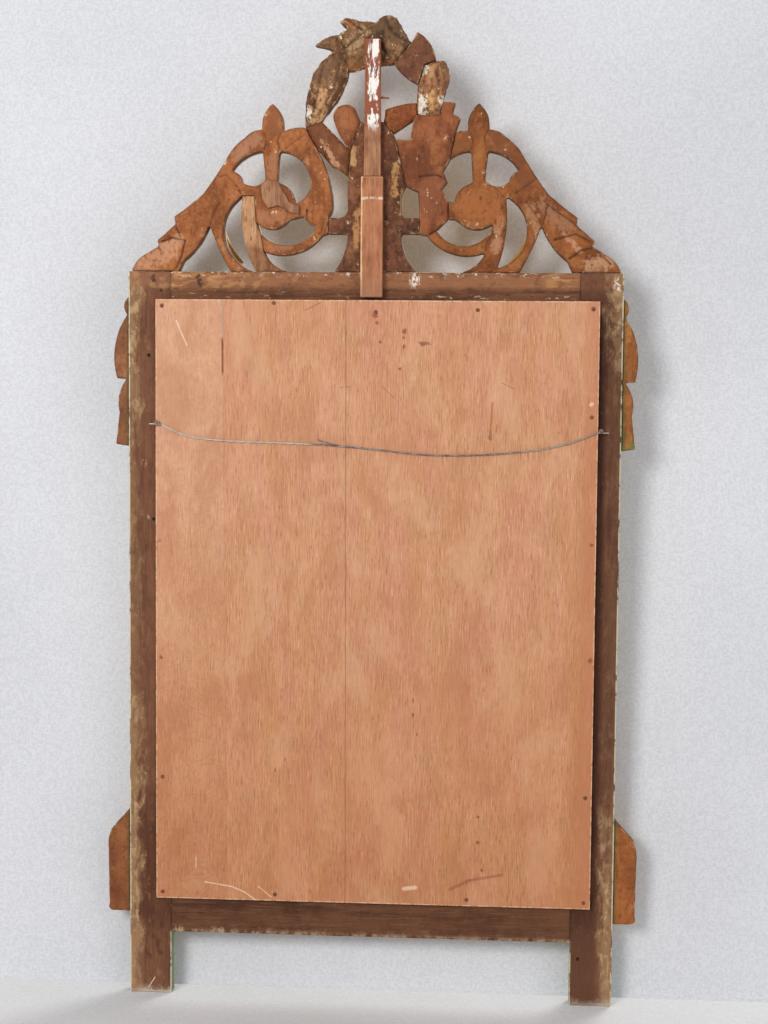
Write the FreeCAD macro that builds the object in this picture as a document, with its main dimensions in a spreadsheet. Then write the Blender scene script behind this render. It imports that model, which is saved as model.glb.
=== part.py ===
import FreeCAD
import Part
import math
import os
import re

# Carved wall mirror with a pierced crest, a plywood back and a slack hanging wire.
# Front faces -Y, back faces +Y, +Z is up, z = 0 at the soles of the feet, x = 0 on the centre line.
# Left and right are as seen from the front, so right is +X.

# Driving sizes in millimetres
SIZES = (
    ("frame_width", 610.0),
    ("frame_height", 913.0),
    ("frame_thick", 22.0),
    ("stile_width", 53.0),
    ("top_rail_width", 53.0),
    ("bottom_rail_width", 60.0),
    ("foot_height", 80.0),
    ("tenon_length", 36.0),
    ("tenon_thick", 8.0),
    ("tenon_shoulder", 10.0),
    ("tenon_haunch", 22.0),
    ("tenon_clear", 0.2),
    ("glass_thick", 4.0),
    ("glass_clear", 1.5),
    ("sight_lip", 8.0),
    ("sight_seat", 16.0),
    ("sight_proud", 12.0),
    ("outer_seat", 18.0),
    ("outer_proud", 14.0),
    ("block_leg", 10.0),
    ("block_length", 45.0),
    ("block_clear", 0.2),
    ("panel_thick", 4.5),
    ("panel_lap_side", 21.0),
    ("panel_lap_top", 18.5),
    ("panel_lap_bottom", 15.0),
    ("panel_shift", -3.0),
    ("panel_nail_inset", 8.0),
    ("nail_dia", 1.8),
    ("nail_length", 17.0),
    ("nail_head_dia", 4.6),
    ("nail_head_thick", 0.9),
    ("crest_rise", 310.0),
    ("crest_inset", 4.0),
    ("crest_thick", 24.0),
    ("leaf_proud", 7.5),
    ("band_proud", 6.0),
    ("relief_sink", 0.5),
    ("bow_recess", 4.0),
    ("torch_recess", 2.0),
    ("arrow_recess", 4.0),
    ("wreath_recess", 1.5),
    ("dowel_dia", 8.0),
    ("dowel_reach", 18.0),
    ("dowel_clear", 0.1),
    ("dowel_end_clear", 0.3),
    ("stile_dowel_inset", 33.0),
    ("post_dowel_offset", 22.0),
    ("rosette_radius", 24.0),
    ("rosette_edge", 2.5),
    ("rosette_rise", 2.5),
    ("rosette_eye_radius", 7.0),
    ("rosette_eye_proud", 4.0),
    ("batten_thick", 13.0),
    ("batten_width", 27.0),
    ("batten_shift", 2.5),
    ("batten_lap", 31.0),
    ("batten_height", 115.0),
    ("strut_thick", 11.0),
    ("strut_foot_width", 21.0),
    ("strut_tip_width", 18.5),
    ("strut_length", 164.0),
    ("strut_gap", 0.3),
    ("repair_proud", 4.0),
    ("ear_thick", 16.0),
    ("ear_setback", 4.0),
    ("ear_proud", 5.0),
    ("upper_ear_width", 18.0),
    ("upper_ear_length", 186.0),
    ("upper_ear_drop", 31.0),
    ("lower_ear_width", 28.5),
    ("lower_ear_height", 134.0),
    ("lower_ear_foot", 104.0),
    ("wire_dia", 2.4),
    ("wire_clear", 0.6),
    ("wrap_dia", 1.5),
    ("wrap_pitch", 2.3),
    ("wrap_clear", 0.1),
    ("wrap_tail", 9.0),
    ("wrap_lead", 5.0),
    ("wire_nail_dia", 2.6),
    ("wire_nail_length", 26.0),
    ("wire_nail_stand", 11.9),
    ("wire_nail_head_dia", 5.2),
    ("wire_nail_head_thick", 1.0),
    ("wire_nail_edge_right", 37.0),
    ("wire_nail_edge_left", 25.2),
    ("wire_nail_drop_right", 186.3),
    ("wire_nail_drop_left", 192.0),
)

# Size of the drawing that the crest's outlines are taken from
PATTERN_HALF = 301.0
PATTERN_RISE = 310.0

# Names of places, as formulas on the sheet
HALF = "(frame_width / 2)"
INNER = f"({HALF} - stile_width)"
BACK = "((frame_thick + outer_proud - batten_thick) / 2)"
FRONT = f"({BACK} - frame_thick)"
SIGHT_LOW = "(foot_height + bottom_rail_width)"
SIGHT_HIGH = "(frame_height - top_rail_width)"

WRAP_TURNS = 2
QUARTERS = 4
PETALS = 8
TUBE_BEND_SHARE = 0.45
WIRE_SIDES = 8
HEAD_SIDES = 12
SHANK_SIDES = 6

doc = FreeCAD.newDocument("carved_mirror")
sheet = doc.addObject("Spreadsheet::Sheet", "sizes")
for row, (alias, number) in enumerate(SIZES, start=1):
    sheet.set(f"A{row}", alias)
    sheet.set(f"B{row}", str(number))
    sheet.setAlias(f"B{row}", alias)
doc.recompute()

nodes = []


def size(alias):
    """A driving size as the sheet holds it."""
    return float(sheet.get(alias))


def bind(thing, prop, formula):
    """Ties a property to a formula whose words are aliases of the sheet."""
    thing.setExpression(prop, re.sub(r"\b([a-z]\w+)\b", r"sizes.\1", formula))


def bind_place(thing, x, y, z):
    """Ties the place of a piece to formulas."""
    for axis, formula in zip("xyz", (x, y, z)):
        bind(thing, f"Placement.Base.{axis}", formula)


def keep(thing, name):
    """Names a finished piece."""
    thing.Label = name
    nodes.append(thing)
    return thing


def box(name, length, width, height, x, y, z):
    """A block whose sides and low corner are formulas."""
    block = doc.addObject("Part::Box", name)
    bind(block, "Length", length)
    bind(block, "Width", width)
    bind(block, "Height", height)
    bind_place(block, x, y, z)
    return block


def upright_cylinder(name, radius, height, x, y, z):
    """A cylinder along Z whose sizes and foot are formulas."""
    post = doc.addObject("Part::Cylinder", name)
    bind(post, "Radius", radius)
    bind(post, "Height", height)
    bind_place(post, x, y, z)
    return post


def cut(name, base, tools):
    """The base with each tool taken out of it."""
    for number, tool in enumerate(tools):
        step = doc.addObject("Part::Cut", f"{name}_cut_{number}")
        step.Base = base
        step.Tool = tool
        base = step
    return base


def fuse(name, pieces):
    """One solid from several blocks."""
    whole = doc.addObject("Part::MultiFuse", name)
    whole.Shapes = pieces
    whole.Refine = True
    return whole


def group(name, pieces):
    """Separate equal solids kept as one piece."""
    bundle = doc.addObject("Part::Compound", name)
    bundle.Links = pieces
    return bundle


def plane(body, role):
    """One of a body's own origin planes."""
    return next(item for item in body.Origin.OriginFeatures if item.Role == role)


def outline_edges(outline, scale_x=1.0, scale_y=1.0):
    """Edges of a closed outline: (x, y) ends a line, (mx, my, x, y) ends an arc through (mx, my)."""
    start = outline[0]
    here = FreeCAD.Vector(start[0] * scale_x, start[1] * scale_y, 0)
    first = here
    edges = []
    for item in list(outline[1:]) + [None]:
        if item is None:
            if (here - first).Length > 1e-6:
                edges.append(Part.LineSegment(here, first))
            break
        there = FreeCAD.Vector(item[-2] * scale_x, item[-1] * scale_y, 0)
        if len(item) == 4:
            middle = FreeCAD.Vector(item[0] * scale_x, item[1] * scale_y, 0)
            edges.append(Part.Arc(here, middle, there))
        else:
            edges.append(Part.LineSegment(here, there))
        here = there
    return edges


def sketch(body, name, role, outlines, scale_x=1.0, scale_y=1.0):
    """A sketch of closed outlines on one of the body's origin planes."""
    drawing = body.newObject("Sketcher::SketchObject", name)
    drawing.AttachmentSupport = [(plane(body, role), "")]
    drawing.MapMode = "FlatFace"
    for outline in outlines:
        drawing.addGeometry(outline_edges(outline, scale_x, scale_y), False)
    return drawing


def new_body(name, x, y, z):
    """A body whose origin is placed by formulas."""
    body = doc.addObject("PartDesign::Body", name)
    bind_place(body, x, y, z)
    return body


def pad(body, drawing, name, length):
    """A pad of a sketch along its normal."""
    feature = body.newObject("PartDesign::Pad", name)
    feature.Profile = drawing
    bind(feature, "Length", length)
    drawing.Visibility = False
    return feature


def mirrored(outline):
    """The same outline on the other side of the centre line."""
    return [tuple(-v if i % 2 == 0 else v for i, v in enumerate(item)) for item in outline]


# Relief of the front: faceted forms whose foot outline is drawn in to a smaller, parallel top outline
LEAF_TOP_SHARE = 0.22
LEAF_SIDE = ((0.6, 0.62), (0.2, 0.97), (-0.25, 0.94), (-0.65, 0.56))
BAND_TOP_SHARE = 0.35
BAND_STEPS = 6


def turned(along, across, tilt, x, z):
    """A point of a form that leans by tilt degrees from the upright towards +X."""
    lean = math.radians(tilt)
    return (
        x + along * math.sin(lean) + across * math.cos(lean),
        z + along * math.cos(lean) - across * math.sin(lean),
    )


def leaf_outlines(x, z, length, width, tilt):
    """Foot and top of a pointed leaf, as straight-sided outlines."""
    pair = []
    for share in (1.0, LEAF_TOP_SHARE):
        half_long = length * share / 2
        half_wide = width * share / 2
        one_side = [(half_long * along, half_wide * across) for along, across in LEAF_SIDE]
        other_side = [(along, -across) for along, across in reversed(one_side)]
        spots = [(half_long, 0.0)] + one_side + [(-half_long, 0.0)] + other_side
        pair.append([turned(along, across, tilt, x, z) for along, across in spots])
    return pair


def band_outlines(start, middle, end, width):
    """Foot and top of a band of straight steps along the arc through three points."""
    arc = Part.Arc(*(FreeCAD.Vector(x, z, 0) for x, z in (start, middle, end))).toShape()
    centre = arc.Curve.Center
    line = arc.discretize(Number=BAND_STEPS + 1)
    pair = []
    for share in (1.0, BAND_TOP_SHARE):
        rims = []
        for side in (1, -1):
            scale = 1 + side * width * share / 2 / arc.Curve.Radius
            rims.append([centre + (spot - centre) * scale for spot in line])
        pair.append([(spot.x, spot.y) for spot in rims[0] + rims[1][::-1]])
    return pair


def raised(name, pair, front, proud, place, scales=(1.0, 1.0)):
    """A faceted solid from a sunk foot outline to a parallel top outline in front of a board's face."""
    foot_y = size("relief_sink") - front
    top_y = -front - proud
    rims = []
    for outline, y in zip(pair, (foot_y, top_y)):
        rims.append([FreeCAD.Vector(x * scales[0], y, z * scales[1]) for x, z in outline])
    foot, top = rims
    count = len(foot)
    rings = [foot, top]
    for number in range(count):
        after = (number + 1) % count
        rings.append([foot[number], foot[after], top[after], top[number]])
    faces = [Part.Face(Part.makePolygon(ring + ring[:1])) for ring in rings]
    form = doc.addObject("Part::Feature", name)
    form.Shape = Part.Solid(Part.Shell(faces))
    bind_place(form, *place)
    return form


# Frame: stiles with mortises, rails with tenons
TENONS = {
    "top": (f"({SIGHT_HIGH} + tenon_shoulder)", "(top_rail_width - tenon_shoulder - tenon_haunch)"),
    "bottom": ("(foot_height + tenon_shoulder)", "(bottom_rail_width - 2 * tenon_shoulder)"),
}
TENON_Y = f"({BACK} - (frame_thick + tenon_thick) / 2)"
DOWEL_Y = f"({BACK} - frame_thick / 2)"
STILE_DOWEL_X = f"({HALF} - stile_dowel_inset)"


def dowel_socket(name, x):
    """The hole for a crest dowel in the top of the frame."""
    radius = "dowel_dia / 2 + dowel_clear"
    depth = "(dowel_reach + dowel_end_clear)"
    return upright_cylinder(name, radius, depth, x, DOWEL_Y, f"frame_height - {depth}")


def stile(side, sign):
    """A full-height stile with its foot, two mortises and a dowel hole."""
    low_x = INNER if sign > 0 else f"-{HALF}"
    blank = box(f"stile_{side}_blank", "stile_width", "frame_thick", "frame_height", low_x, FRONT, "0")
    mortise_x = INNER if sign > 0 else f"-{INNER} - tenon_length - tenon_clear"
    tools = [dowel_socket(f"stile_{side}_dowel_hole", STILE_DOWEL_X if sign > 0 else f"-{STILE_DOWEL_X}")]
    for end, (low, height) in TENONS.items():
        tools.append(
            box(
                f"stile_{side}_mortise_{end}",
                "tenon_length + tenon_clear",
                "tenon_thick + 2 * tenon_clear",
                f"{height} + 2 * tenon_clear",
                mortise_x,
                f"{TENON_Y} - tenon_clear",
                f"{low} - tenon_clear",
            )
        )
    keep(cut(f"stile_{side}", blank, tools), f"stile_{side}")


def rail(end, low, height, holes):
    """A rail between the stiles with a tenon at each end."""
    span = f"2 * {INNER}"
    tenon_low, tenon_height = TENONS[end]
    bar = box(f"rail_{end}_bar", span, "frame_thick", height, f"-{INNER}", FRONT, low)
    tenon = box(
        f"rail_{end}_tenon",
        f"{span} + 2 * tenon_length",
        "tenon_thick",
        tenon_height,
        f"-{INNER} - tenon_length",
        TENON_Y,
        tenon_low,
    )
    whole = fuse(f"rail_{end}_whole", [bar, tenon])
    keep(cut(f"rail_{end}", whole, holes) if holes else whole, f"rail_{end}")


stile("left", -1)
stile("right", 1)
rail(
    "top",
    SIGHT_HIGH,
    "top_rail_width",
    [
        dowel_socket("rail_hole_left", "-post_dowel_offset"),
        dowel_socket("rail_hole_right", "post_dowel_offset"),
    ],
)
rail("bottom", "foot_height", "bottom_rail_width", [])


# Mouldings: a profile run along each side and mitred at 45 degrees
def sight_profile():
    """Lip, cove and half-round bead of the sight moulding, as (across, proud)."""
    lip, seat, proud = size("sight_lip"), size("sight_seat"), size("sight_proud")
    fillet_height = proud / 4
    bead_low = proud * 0.7
    bead_start = seat * 0.2
    bead_end = seat * 0.8
    return [
        (0, -lip),
        (-fillet_height, -lip),
        (-proud * 0.35, -lip * 0.2, -bead_low, bead_start),
        (-proud, (bead_start + bead_end) / 2, -bead_low, bead_end),
        (-fillet_height, bead_end),
        (-fillet_height, seat),
        (0, seat),
    ]


def outer_profile():
    """Torus and cove of the outer moulding, as (across, proud) from the outer edge."""
    seat, proud = size("outer_seat"), size("outer_proud")
    shoulder = proud * 0.6
    torus_end = seat * 0.62
    fillet_height = proud * 0.15
    return [
        (0, 0),
        (-shoulder, 0),
        (-proud, torus_end / 2, -shoulder, torus_end),
        (-proud * 0.25, seat * 0.72, -fillet_height, seat * 0.94),
        (-fillet_height, seat),
        (0, seat),
    ]


def moulding(name, profile, run, low, high, flare, x, z, turn):
    """A moulding along local X, its profile rising towards -Y, cut at both ends by a mitre of slope flare."""
    body = new_body(name, x, FRONT, z)
    body.Placement.Rotation = FreeCAD.Rotation(FreeCAD.Vector(0, 1, 0), turn)
    longest = run + 2 * max(flare * low, flare * high)
    bar = body.newObject("PartDesign::Pad", f"{name}_bar")
    bar.Profile = sketch(body, f"{name}_profile", "YZ_Plane", [profile])
    bar.Midplane = True
    bar.Length = longest
    ends = []
    for sign in (1, -1):
        ends.append(
            [
                (sign * (run / 2 + flare * low), low),
                (sign * (run / 2 + flare * high), high),
                (sign * longest, high),
                (sign * longest, low),
            ]
        )
    mitre = body.newObject("PartDesign::Pocket", f"{name}_mitre")
    mitre.Profile = sketch(body, f"{name}_mitre_lines", "XZ_Plane", ends)
    mitre.Type = "ThroughAll"
    mitre.Midplane = True
    keep(body, name)


def mouldings():
    """Four sides of the sight moulding and four of the outer moulding."""
    half = size("frame_width") / 2
    opening_wide = 2 * (half - size("stile_width"))
    sight_low = size("foot_height") + size("bottom_rail_width")
    sight_high = size("frame_height") - size("top_rail_width")
    sight = (-size("sight_lip"), size("sight_seat"), 1.0)
    outer = (0.0, size("outer_seat"), -1.0)
    tall = sight_high - sight_low
    middle = f"(({SIGHT_LOW} + {SIGHT_HIGH}) / 2)"
    outer_middle = "((foot_height + frame_height) / 2)"
    outer_tall = size("frame_height") - size("foot_height")
    sides = (
        ("top", opening_wide, 2 * half, "0", SIGHT_HIGH, "0", "frame_height", 0, 180),
        ("bottom", opening_wide, 2 * half, "0", SIGHT_LOW, "0", "foot_height", 180, 0),
        ("right", tall, outer_tall, INNER, middle, HALF, outer_middle, 90, 270),
        ("left", tall, outer_tall, f"-{INNER}", middle, f"-{HALF}", outer_middle, 270, 90),
    )
    for end, inner_run, outer_run, x, z, outer_x, outer_z, inner_turn, outer_turn in sides:
        moulding(f"sight_moulding_{end}", sight_profile(), inner_run, *sight, x, z, inner_turn)
        moulding(f"outer_moulding_{end}", outer_profile(), outer_run, *outer, outer_x, outer_z, outer_turn)


mouldings()

# Glass, its glue blocks and the plywood back
keep(
    box(
        "glass",
        f"2 * ({INNER} - glass_clear)",
        "glass_thick",
        f"{SIGHT_HIGH} - {SIGHT_LOW} - 2 * glass_clear",
        f"glass_clear - {INNER}",
        FRONT,
        f"{SIGHT_LOW} + glass_clear",
    ),
    "mirror_glass",
)


def glazing_blocks():
    """Glue blocks behind the glass, two on each side of the opening."""
    blocks = []
    y = f"{FRONT} + glass_thick + block_clear"
    for sign in (-1, 1):
        for share in (1, 2):
            tag = f"{'left' if sign < 0 else 'right'}_{share}"
            along = f"{SIGHT_LOW} + ({SIGHT_HIGH} - {SIGHT_LOW}) * {share} / 3 - block_length / 2"
            side_x = f"{INNER} - block_leg" if sign > 0 else f"-{INNER}"
            blocks.append(box(f"side_block_{tag}", "block_leg", "block_leg", "block_length", side_x, y, along))
            end_x = f"{INNER} * {sign} / 3 - block_length / 2"
            end_z = SIGHT_LOW if share == 1 else f"{SIGHT_HIGH} - block_leg"
            blocks.append(box(f"end_block_{tag}", "block_length", "block_leg", "block_leg", end_x, y, end_z))
    keep(group("blocks", blocks), "glazing_blocks")


glazing_blocks()
PANEL_LOW = f"({SIGHT_LOW} - panel_lap_bottom)"
PANEL_HIGH = f"({SIGHT_HIGH} + panel_lap_top)"
keep(
    box(
        "panel",
        f"2 * ({INNER} + panel_lap_side)",
        "panel_thick",
        f"{PANEL_HIGH} - {PANEL_LOW}",
        f"panel_shift - {INNER} - panel_lap_side",
        BACK,
        PANEL_LOW,
    ),
    "back_panel",
)


# Nails
def ring_of(sides, radius, centre, heading):
    """A many-sided ring square to heading, with the area of the circle of that radius."""
    swell = math.sqrt(2 * math.pi / (sides * math.sin(2 * math.pi / sides)))
    turn = FreeCAD.Rotation(FreeCAD.Vector(0, 0, 1), heading)
    corners = []
    for number in range(sides + 1):
        angle = 2 * math.pi * (number % sides) / sides
        corner = FreeCAD.Vector(math.cos(angle), math.sin(angle), 0) * (radius * swell)
        corners.append(centre + turn.multVec(corner))
    return Part.makePolygon(corners)


def nail(point, length, shank_dia, head_dia, head_thick):
    """A round nail driven towards -Y, the underside of its head at the point."""
    outward = FreeCAD.Vector(0, 1, 0)
    shank = Part.Face(ring_of(SHANK_SIDES, shank_dia / 2, point, outward)).extrude(outward * -length)
    head = Part.Face(ring_of(HEAD_SIDES, head_dia / 2, point, outward)).extrude(outward * head_thick)
    return shank.fuse(head).removeSplitter()


def solid_feature(name, shape):
    """A piece whose shape is worked out from the sheet's values."""
    feature = doc.addObject("Part::Feature", name)
    feature.Shape = shape
    keep(feature, name)


half_width = size("frame_width") / 2
inner_x = half_width - size("stile_width")
back_y = (size("frame_thick") + size("outer_proud") - size("batten_thick")) / 2
panel_back = back_y + size("panel_thick")


# Nails in shares: along the panel and below the row, along the panel, and side with height
TOP_NAILS = ((-1.0, 0.16), (-0.47, 0.41), (0.0, 0.8), (0.475, -0.5), (1.0, 0.0))
BOTTOM_NAILS = (-1.0, -0.45, 0.46, 1.0)
SIDE_NAILS = ((-1, 0.18), (-1, 0.82), (1, 0.2))


def panel_nails():
    """Nails near the edge of the panel: along the top, along the bottom and a few down the sides."""
    inset = size("panel_nail_inset")
    reach = inner_x + size("panel_lap_side") - inset
    low = size("foot_height") + size("bottom_rail_width") - size("panel_lap_bottom") + inset
    high = size("frame_height") - size("top_rail_width") + size("panel_lap_top") - inset
    middle = size("panel_shift")
    tall = high - low
    places = [(middle + reach * share, high - inset * drop) for share, drop in TOP_NAILS]
    places += [(middle + reach * share, low) for share in BOTTOM_NAILS]
    places += [(middle + reach * side, low + tall * share) for side, share in SIDE_NAILS]
    nails = [
        nail(
            FreeCAD.Vector(x, panel_back, z),
            size("nail_length"),
            size("nail_dia"),
            size("nail_head_dia"),
            size("nail_head_thick"),
        )
        for x, z in places
    ]
    solid_feature("panel_nails", Part.makeCompound(nails))


panel_nails()

# Crest: outlines in the pattern's millimetres, x from the centre line and height above the top rail
SLOPE_TO_BUD = [
    (301, 0),
    (295, 12, 282, 22),
    (267, 31),
    (269, 38),
    (258.5, 47, 246, 58),
    (248, 66.5),
    (229, 80.5, 211.5, 95),
    (198, 114, 183, 137),
    (172, 153, 160, 163),
    (150, 170.5, 138.5, 172.5),
    (136.5, 191, 126, 204),
    (115.5, 191, 113.5, 170),
]
RAIL_TO_SLOPE = [
    (178, 0),
    (194, 32, 204, 57),
    (217, 32, 236, 13),
    (242, 0),
]
LOWER_CURL = (98, 21.5, 136, 24)
CURL_INSIDE = (109, 32)
STEM_WINDOW = [
    (176, 122),
    (160, 139, 138, 146),
    (134.5, 112),
    (148, 104.5, 164, 110),
    (167, 118, 176, 122),
]
RING_WINDOW = [
    (117, 146),
    (91, 135, 79, 110),
    (84, 93, 98, 83),
    (103, 98.5, 119.5, 108.5),
]
TENDRIL_WINDOW = [
    (160, 92),
    (186, 54, 150, 5),
    (160.5, 45, 160, 92),
]
RIGHT_SCROLL = (
    SLOPE_TO_BUD
    + [
        (100, 174.5, 86, 175),
        (70, 147),
        (55, 109, 51, 82),
        (52.5, 73, 57, 66),
        (57, 46),
        (64, 44),
        LOWER_CURL,
        (141, 47),
        (*CURL_INSIDE, 71, 55),
        (80, 58),
        (88, 67),
        (105, 63),
        (124, 51.5, 146, 60.7),
        (148, 92),
        (163, 92),
        (186, 54, 148, 0),
    ]
    + RAIL_TO_SLOPE
)
LEFT_SCROLL = mirrored(
    SLOPE_TO_BUD
    + [
        (106, 171, 98, 169),
        (92, 137),
        (103, 143.5, 117, 146),
        (119.5, 108.5),
        (103, 98.5, 97, 84),
        (90, 86),
        (90, 64),
        (98, 64),
        (106, 58.5),
        (126, 51.5, 146, 60.7),
        (143, 52),
        (*CURL_INSIDE, 76, 51),
        (64, 44),
        LOWER_CURL,
        (122, 7, 104, 0),
    ]
    + RAIL_TO_SLOPE
)
REPAIR_STRIP = [
    (163, 92),
    (162, 45, 146, 0),
    (104, 0),
    (122, 7, 136, 24),
    (141, 47),
    (146, 60.7),
    (148, 92),
]
REPAIR_BLOCK = [
    (140, 104),
    (133, 111.5),
    (121, 111),
    (113, 100),
    (104, 84),
    (92, 80),
    (92, 69),
    (104, 72),
    (118, 80),
    (131, 77),
    (138, 88),
]
POST = [
    (50, 0),
    (38, 20, 33, 46),
    (57, 46),
    (57, 66),
    (43, 66),
    (36, 69, 33, 77),
    (33, 116),
    (30, 147),
    (18, 182),
    (-10, 182),
    (-22, 168),
    (-25, 161),
    (-38, 104),
    (-33, 92),
    (-33, 75),
    (-35.5, 68.5, -42, 66),
    (-55, 66),
    (-55, 46),
    (-33, 46),
    (-38, 20, -52, 0),
]
BOW = [
    (33, 116),
    (47, 126),
    (53, 128),
    (70, 147),
    (86, 175),
    (66, 183),
    (30, 147),
]
TORCH = [
    (30, 147),
    (44, 166, 52, 188),
    (37, 203.5, 22, 192),
    (18, 182),
]
ARROW = [
    (-10, 182),
    (-12, 197),
    (-30, 203, -50, 205),
    (-50, 190),
    (-46, 184),
    (-22, 168),
]
QUIVER = [
    (-55, 46),
    (-64, 44),
    (-76, 51),
    (-90, 64),
    (-90, 86),
    (-82, 101),
    (-89, 109),
    (-84, 122),
    (-92, 137),
    (-98, 169),
    (-104, 186),
    (-94, 192),
    (-98, 205),
    (-82.5, 206),
    (-79, 190),
    (-50, 190),
    (-46, 184),
    (-43, 160),
    (-25, 161),
    (-38, 104),
    (-53, 97),
    (-55, 66),
]
WREATH_BRANCH = [
    (86, 175),
    (85, 207, 78, 237),
    (67, 254, 50, 268),
    (75, 274),
    (60, 284, 45, 287),
    (33, 243),
    (39, 222, 50, 204),
    (66, 183),
]
WREATH_TOP = [
    (45, 287),
    (35, 294),
    (44, 302),
    (37, 306),
    (0, 302),
    (-14, 310, -30, 297),
    (-43, 277),
    (-22, 252),
    (0, 249.5, 33, 243),
]
WREATH_LEAF = [
    (-22, 252),
    (-43, 277),
    (-50, 290),
    (-66, 276, -73, 256),
    (-59, 251),
    (-52, 227),
    (-38, 235, -22, 252),
]
WREATH_SPRAY = [
    (-52, 227),
    (-59, 251),
    (-73, 256),
    (-83, 256),
    (-89, 244, -86, 222),
    (-79, 190),
    (-50, 190),
    (-50, 213),
]

crest_scale_x = (half_width - size("crest_inset")) / PATTERN_HALF
crest_scale_z = size("crest_rise") / PATTERN_RISE


def crest_piece(name, outlines, recess="0", dowel_places=(), leaves=(), bands=()):
    """A sawn board: flat back, pierced outline, carved leaves and bands in front, dowel holes in its foot."""
    place = ("0", f"{BACK} - {recess}", "frame_height")
    body = new_body(f"{name}_blank", *place)
    drawing = sketch(body, f"{name}_outline", "XZ_Plane", outlines, crest_scale_x, crest_scale_z)
    pad(body, drawing, f"{name}_board", "crest_thick")
    for number, x in enumerate(dowel_places):
        hole = body.newObject("Sketcher::SketchObject", f"{name}_hole_{number}")
        hole.AttachmentSupport = [(plane(body, "XY_Plane"), "")]
        hole.MapMode = "FlatFace"
        centre = FreeCAD.Vector(x, -size("frame_thick") / 2, 0)
        radius = size("dowel_dia") / 2 + size("dowel_clear")
        hole.addGeometry(Part.Circle(centre, FreeCAD.Vector(0, 0, 1), radius), False)
        socket = body.newObject("PartDesign::Pocket", f"{name}_socket_{number}")
        socket.Profile = hole
        bind(socket, "Length", "dowel_reach + dowel_end_clear")
        socket.Reversed = True
    front = size("crest_thick")
    scales = (crest_scale_x, crest_scale_z)
    forms = [body]
    for number, leaf in enumerate(leaves):
        pair = leaf_outlines(*leaf)
        forms.append(raised(f"{name}_leaf_{number}", pair, front, size("leaf_proud"), place, scales))
    for number, band in enumerate(bands):
        pair = band_outlines(*band)
        forms.append(raised(f"{name}_band_{number}", pair, front, size("band_proud"), place, scales))
    keep(fuse(f"{name}_carved", forms), name)


stile_dowel_x = half_width - size("stile_dowel_inset")
post_dowel_x = size("post_dowel_offset")

# Leaves as (x, height, length, width, lean) and bands as (start, middle, end, width)
SLOPE_LEAVES = [
    (272, 14.5, 46, 18, -62),
    (244, 39, 44, 22, -44),
    (219, 68, 46, 24, -42),
    (191, 106, 50, 24, -36),
    (165, 146, 40, 13, -44),
    (126, 186, 32, 18, 0),
]
TENDRIL_BAND = ((168, 9), (184.5, 31), (194, 54), 13)
LOWER_CURL_BAND = ((72, 47), (103.5, 27), (134, 35), 12)
STEM_BAND = ((127, 112), (127.5, 140), (127, 166), 12)
RING_BAND = ((96, 158), (73, 132), (66, 96), 16)


def other_side(leaves):
    """The same leaves on the other side of the centre line."""
    return [(-x, z, length, width, -lean) for x, z, length, width, lean in leaves]


def other_band(band):
    """The same band on the other side of the centre line."""
    start, middle, end, width = band
    return (*((-x, z) for x, z in (start, middle, end)), width)


crest_piece(
    "crest_scroll_right",
    [RIGHT_SCROLL, STEM_WINDOW, RING_WINDOW],
    dowel_places=[stile_dowel_x],
    leaves=SLOPE_LEAVES,
    bands=[TENDRIL_BAND, LOWER_CURL_BAND, STEM_BAND, RING_BAND],
)
crest_piece(
    "crest_scroll_left",
    [LEFT_SCROLL, mirrored(STEM_WINDOW), mirrored(TENDRIL_WINDOW)],
    dowel_places=[-stile_dowel_x],
    leaves=other_side(SLOPE_LEAVES),
    bands=[other_band(TENDRIL_BAND), other_band(LOWER_CURL_BAND), other_band(STEM_BAND)],
)
crest_piece(
    "crest_post",
    [POST],
    dowel_places=[post_dowel_x, -post_dowel_x],
    leaves=[
        (0, 26, 44, 44, 0),
        (-21, 22, 36, 16, 22),
        (21, 22, 36, 16, -22),
        (-14, 118, 84, 22, -8),
        (14, 118, 84, 22, 8),
        (0, 112, 110, 18, 0),
    ],
    bands=[((-48, 56), (0, 58), (50, 56), 13)],
)
crest_piece("repair_strip", [REPAIR_STRIP], bands=[((136, 4), (148, 30), (153, 66), 10)])
crest_piece("trophy_bow", [BOW], "bow_recess", leaves=[(57, 150, 64, 20, 42)])
crest_piece("trophy_torch", [TORCH], "torch_recess", leaves=[(36, 177, 44, 17, 14)])
crest_piece("trophy_arrow", [ARROW], "arrow_recess", leaves=[(-30, 189, 32, 14, -66)])
crest_piece(
    "trophy_quiver",
    [QUIVER],
    leaves=[(-71, 78, 50, 24, -8), (-71, 130, 62, 24, -6), (-60, 165, 40, 14, -8), (-86, 180, 34, 14, -4)],
)
crest_piece(
    "wreath_branch",
    [WREATH_BRANCH],
    "wreath_recess",
    leaves=[(70, 203, 46, 18, -2), (55, 236, 48, 20, -18), (52, 272, 34, 14, 40)],
)
crest_piece(
    "wreath_top",
    [WREATH_TOP],
    leaves=[(18, 276, 48, 20, -58), (-12, 284, 46, 20, -36), (-22, 268, 34, 14, -64)],
)
crest_piece("wreath_leaf", [WREATH_LEAF], "wreath_recess", leaves=[(-48, 258, 50, 18, -20)])
crest_piece("wreath_spray", [WREATH_SPRAY], leaves=[(-68, 222, 56, 18, -14)])

repair = new_body("repair_block", "0", f"{BACK} + repair_proud", "frame_height")
repair_lines = sketch(repair, "repair_lines", "XZ_Plane", [REPAIR_BLOCK], crest_scale_x, crest_scale_z)
pad(repair, repair_lines, "repair_pad", "repair_proud")
keep(repair, "repair_block")


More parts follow.
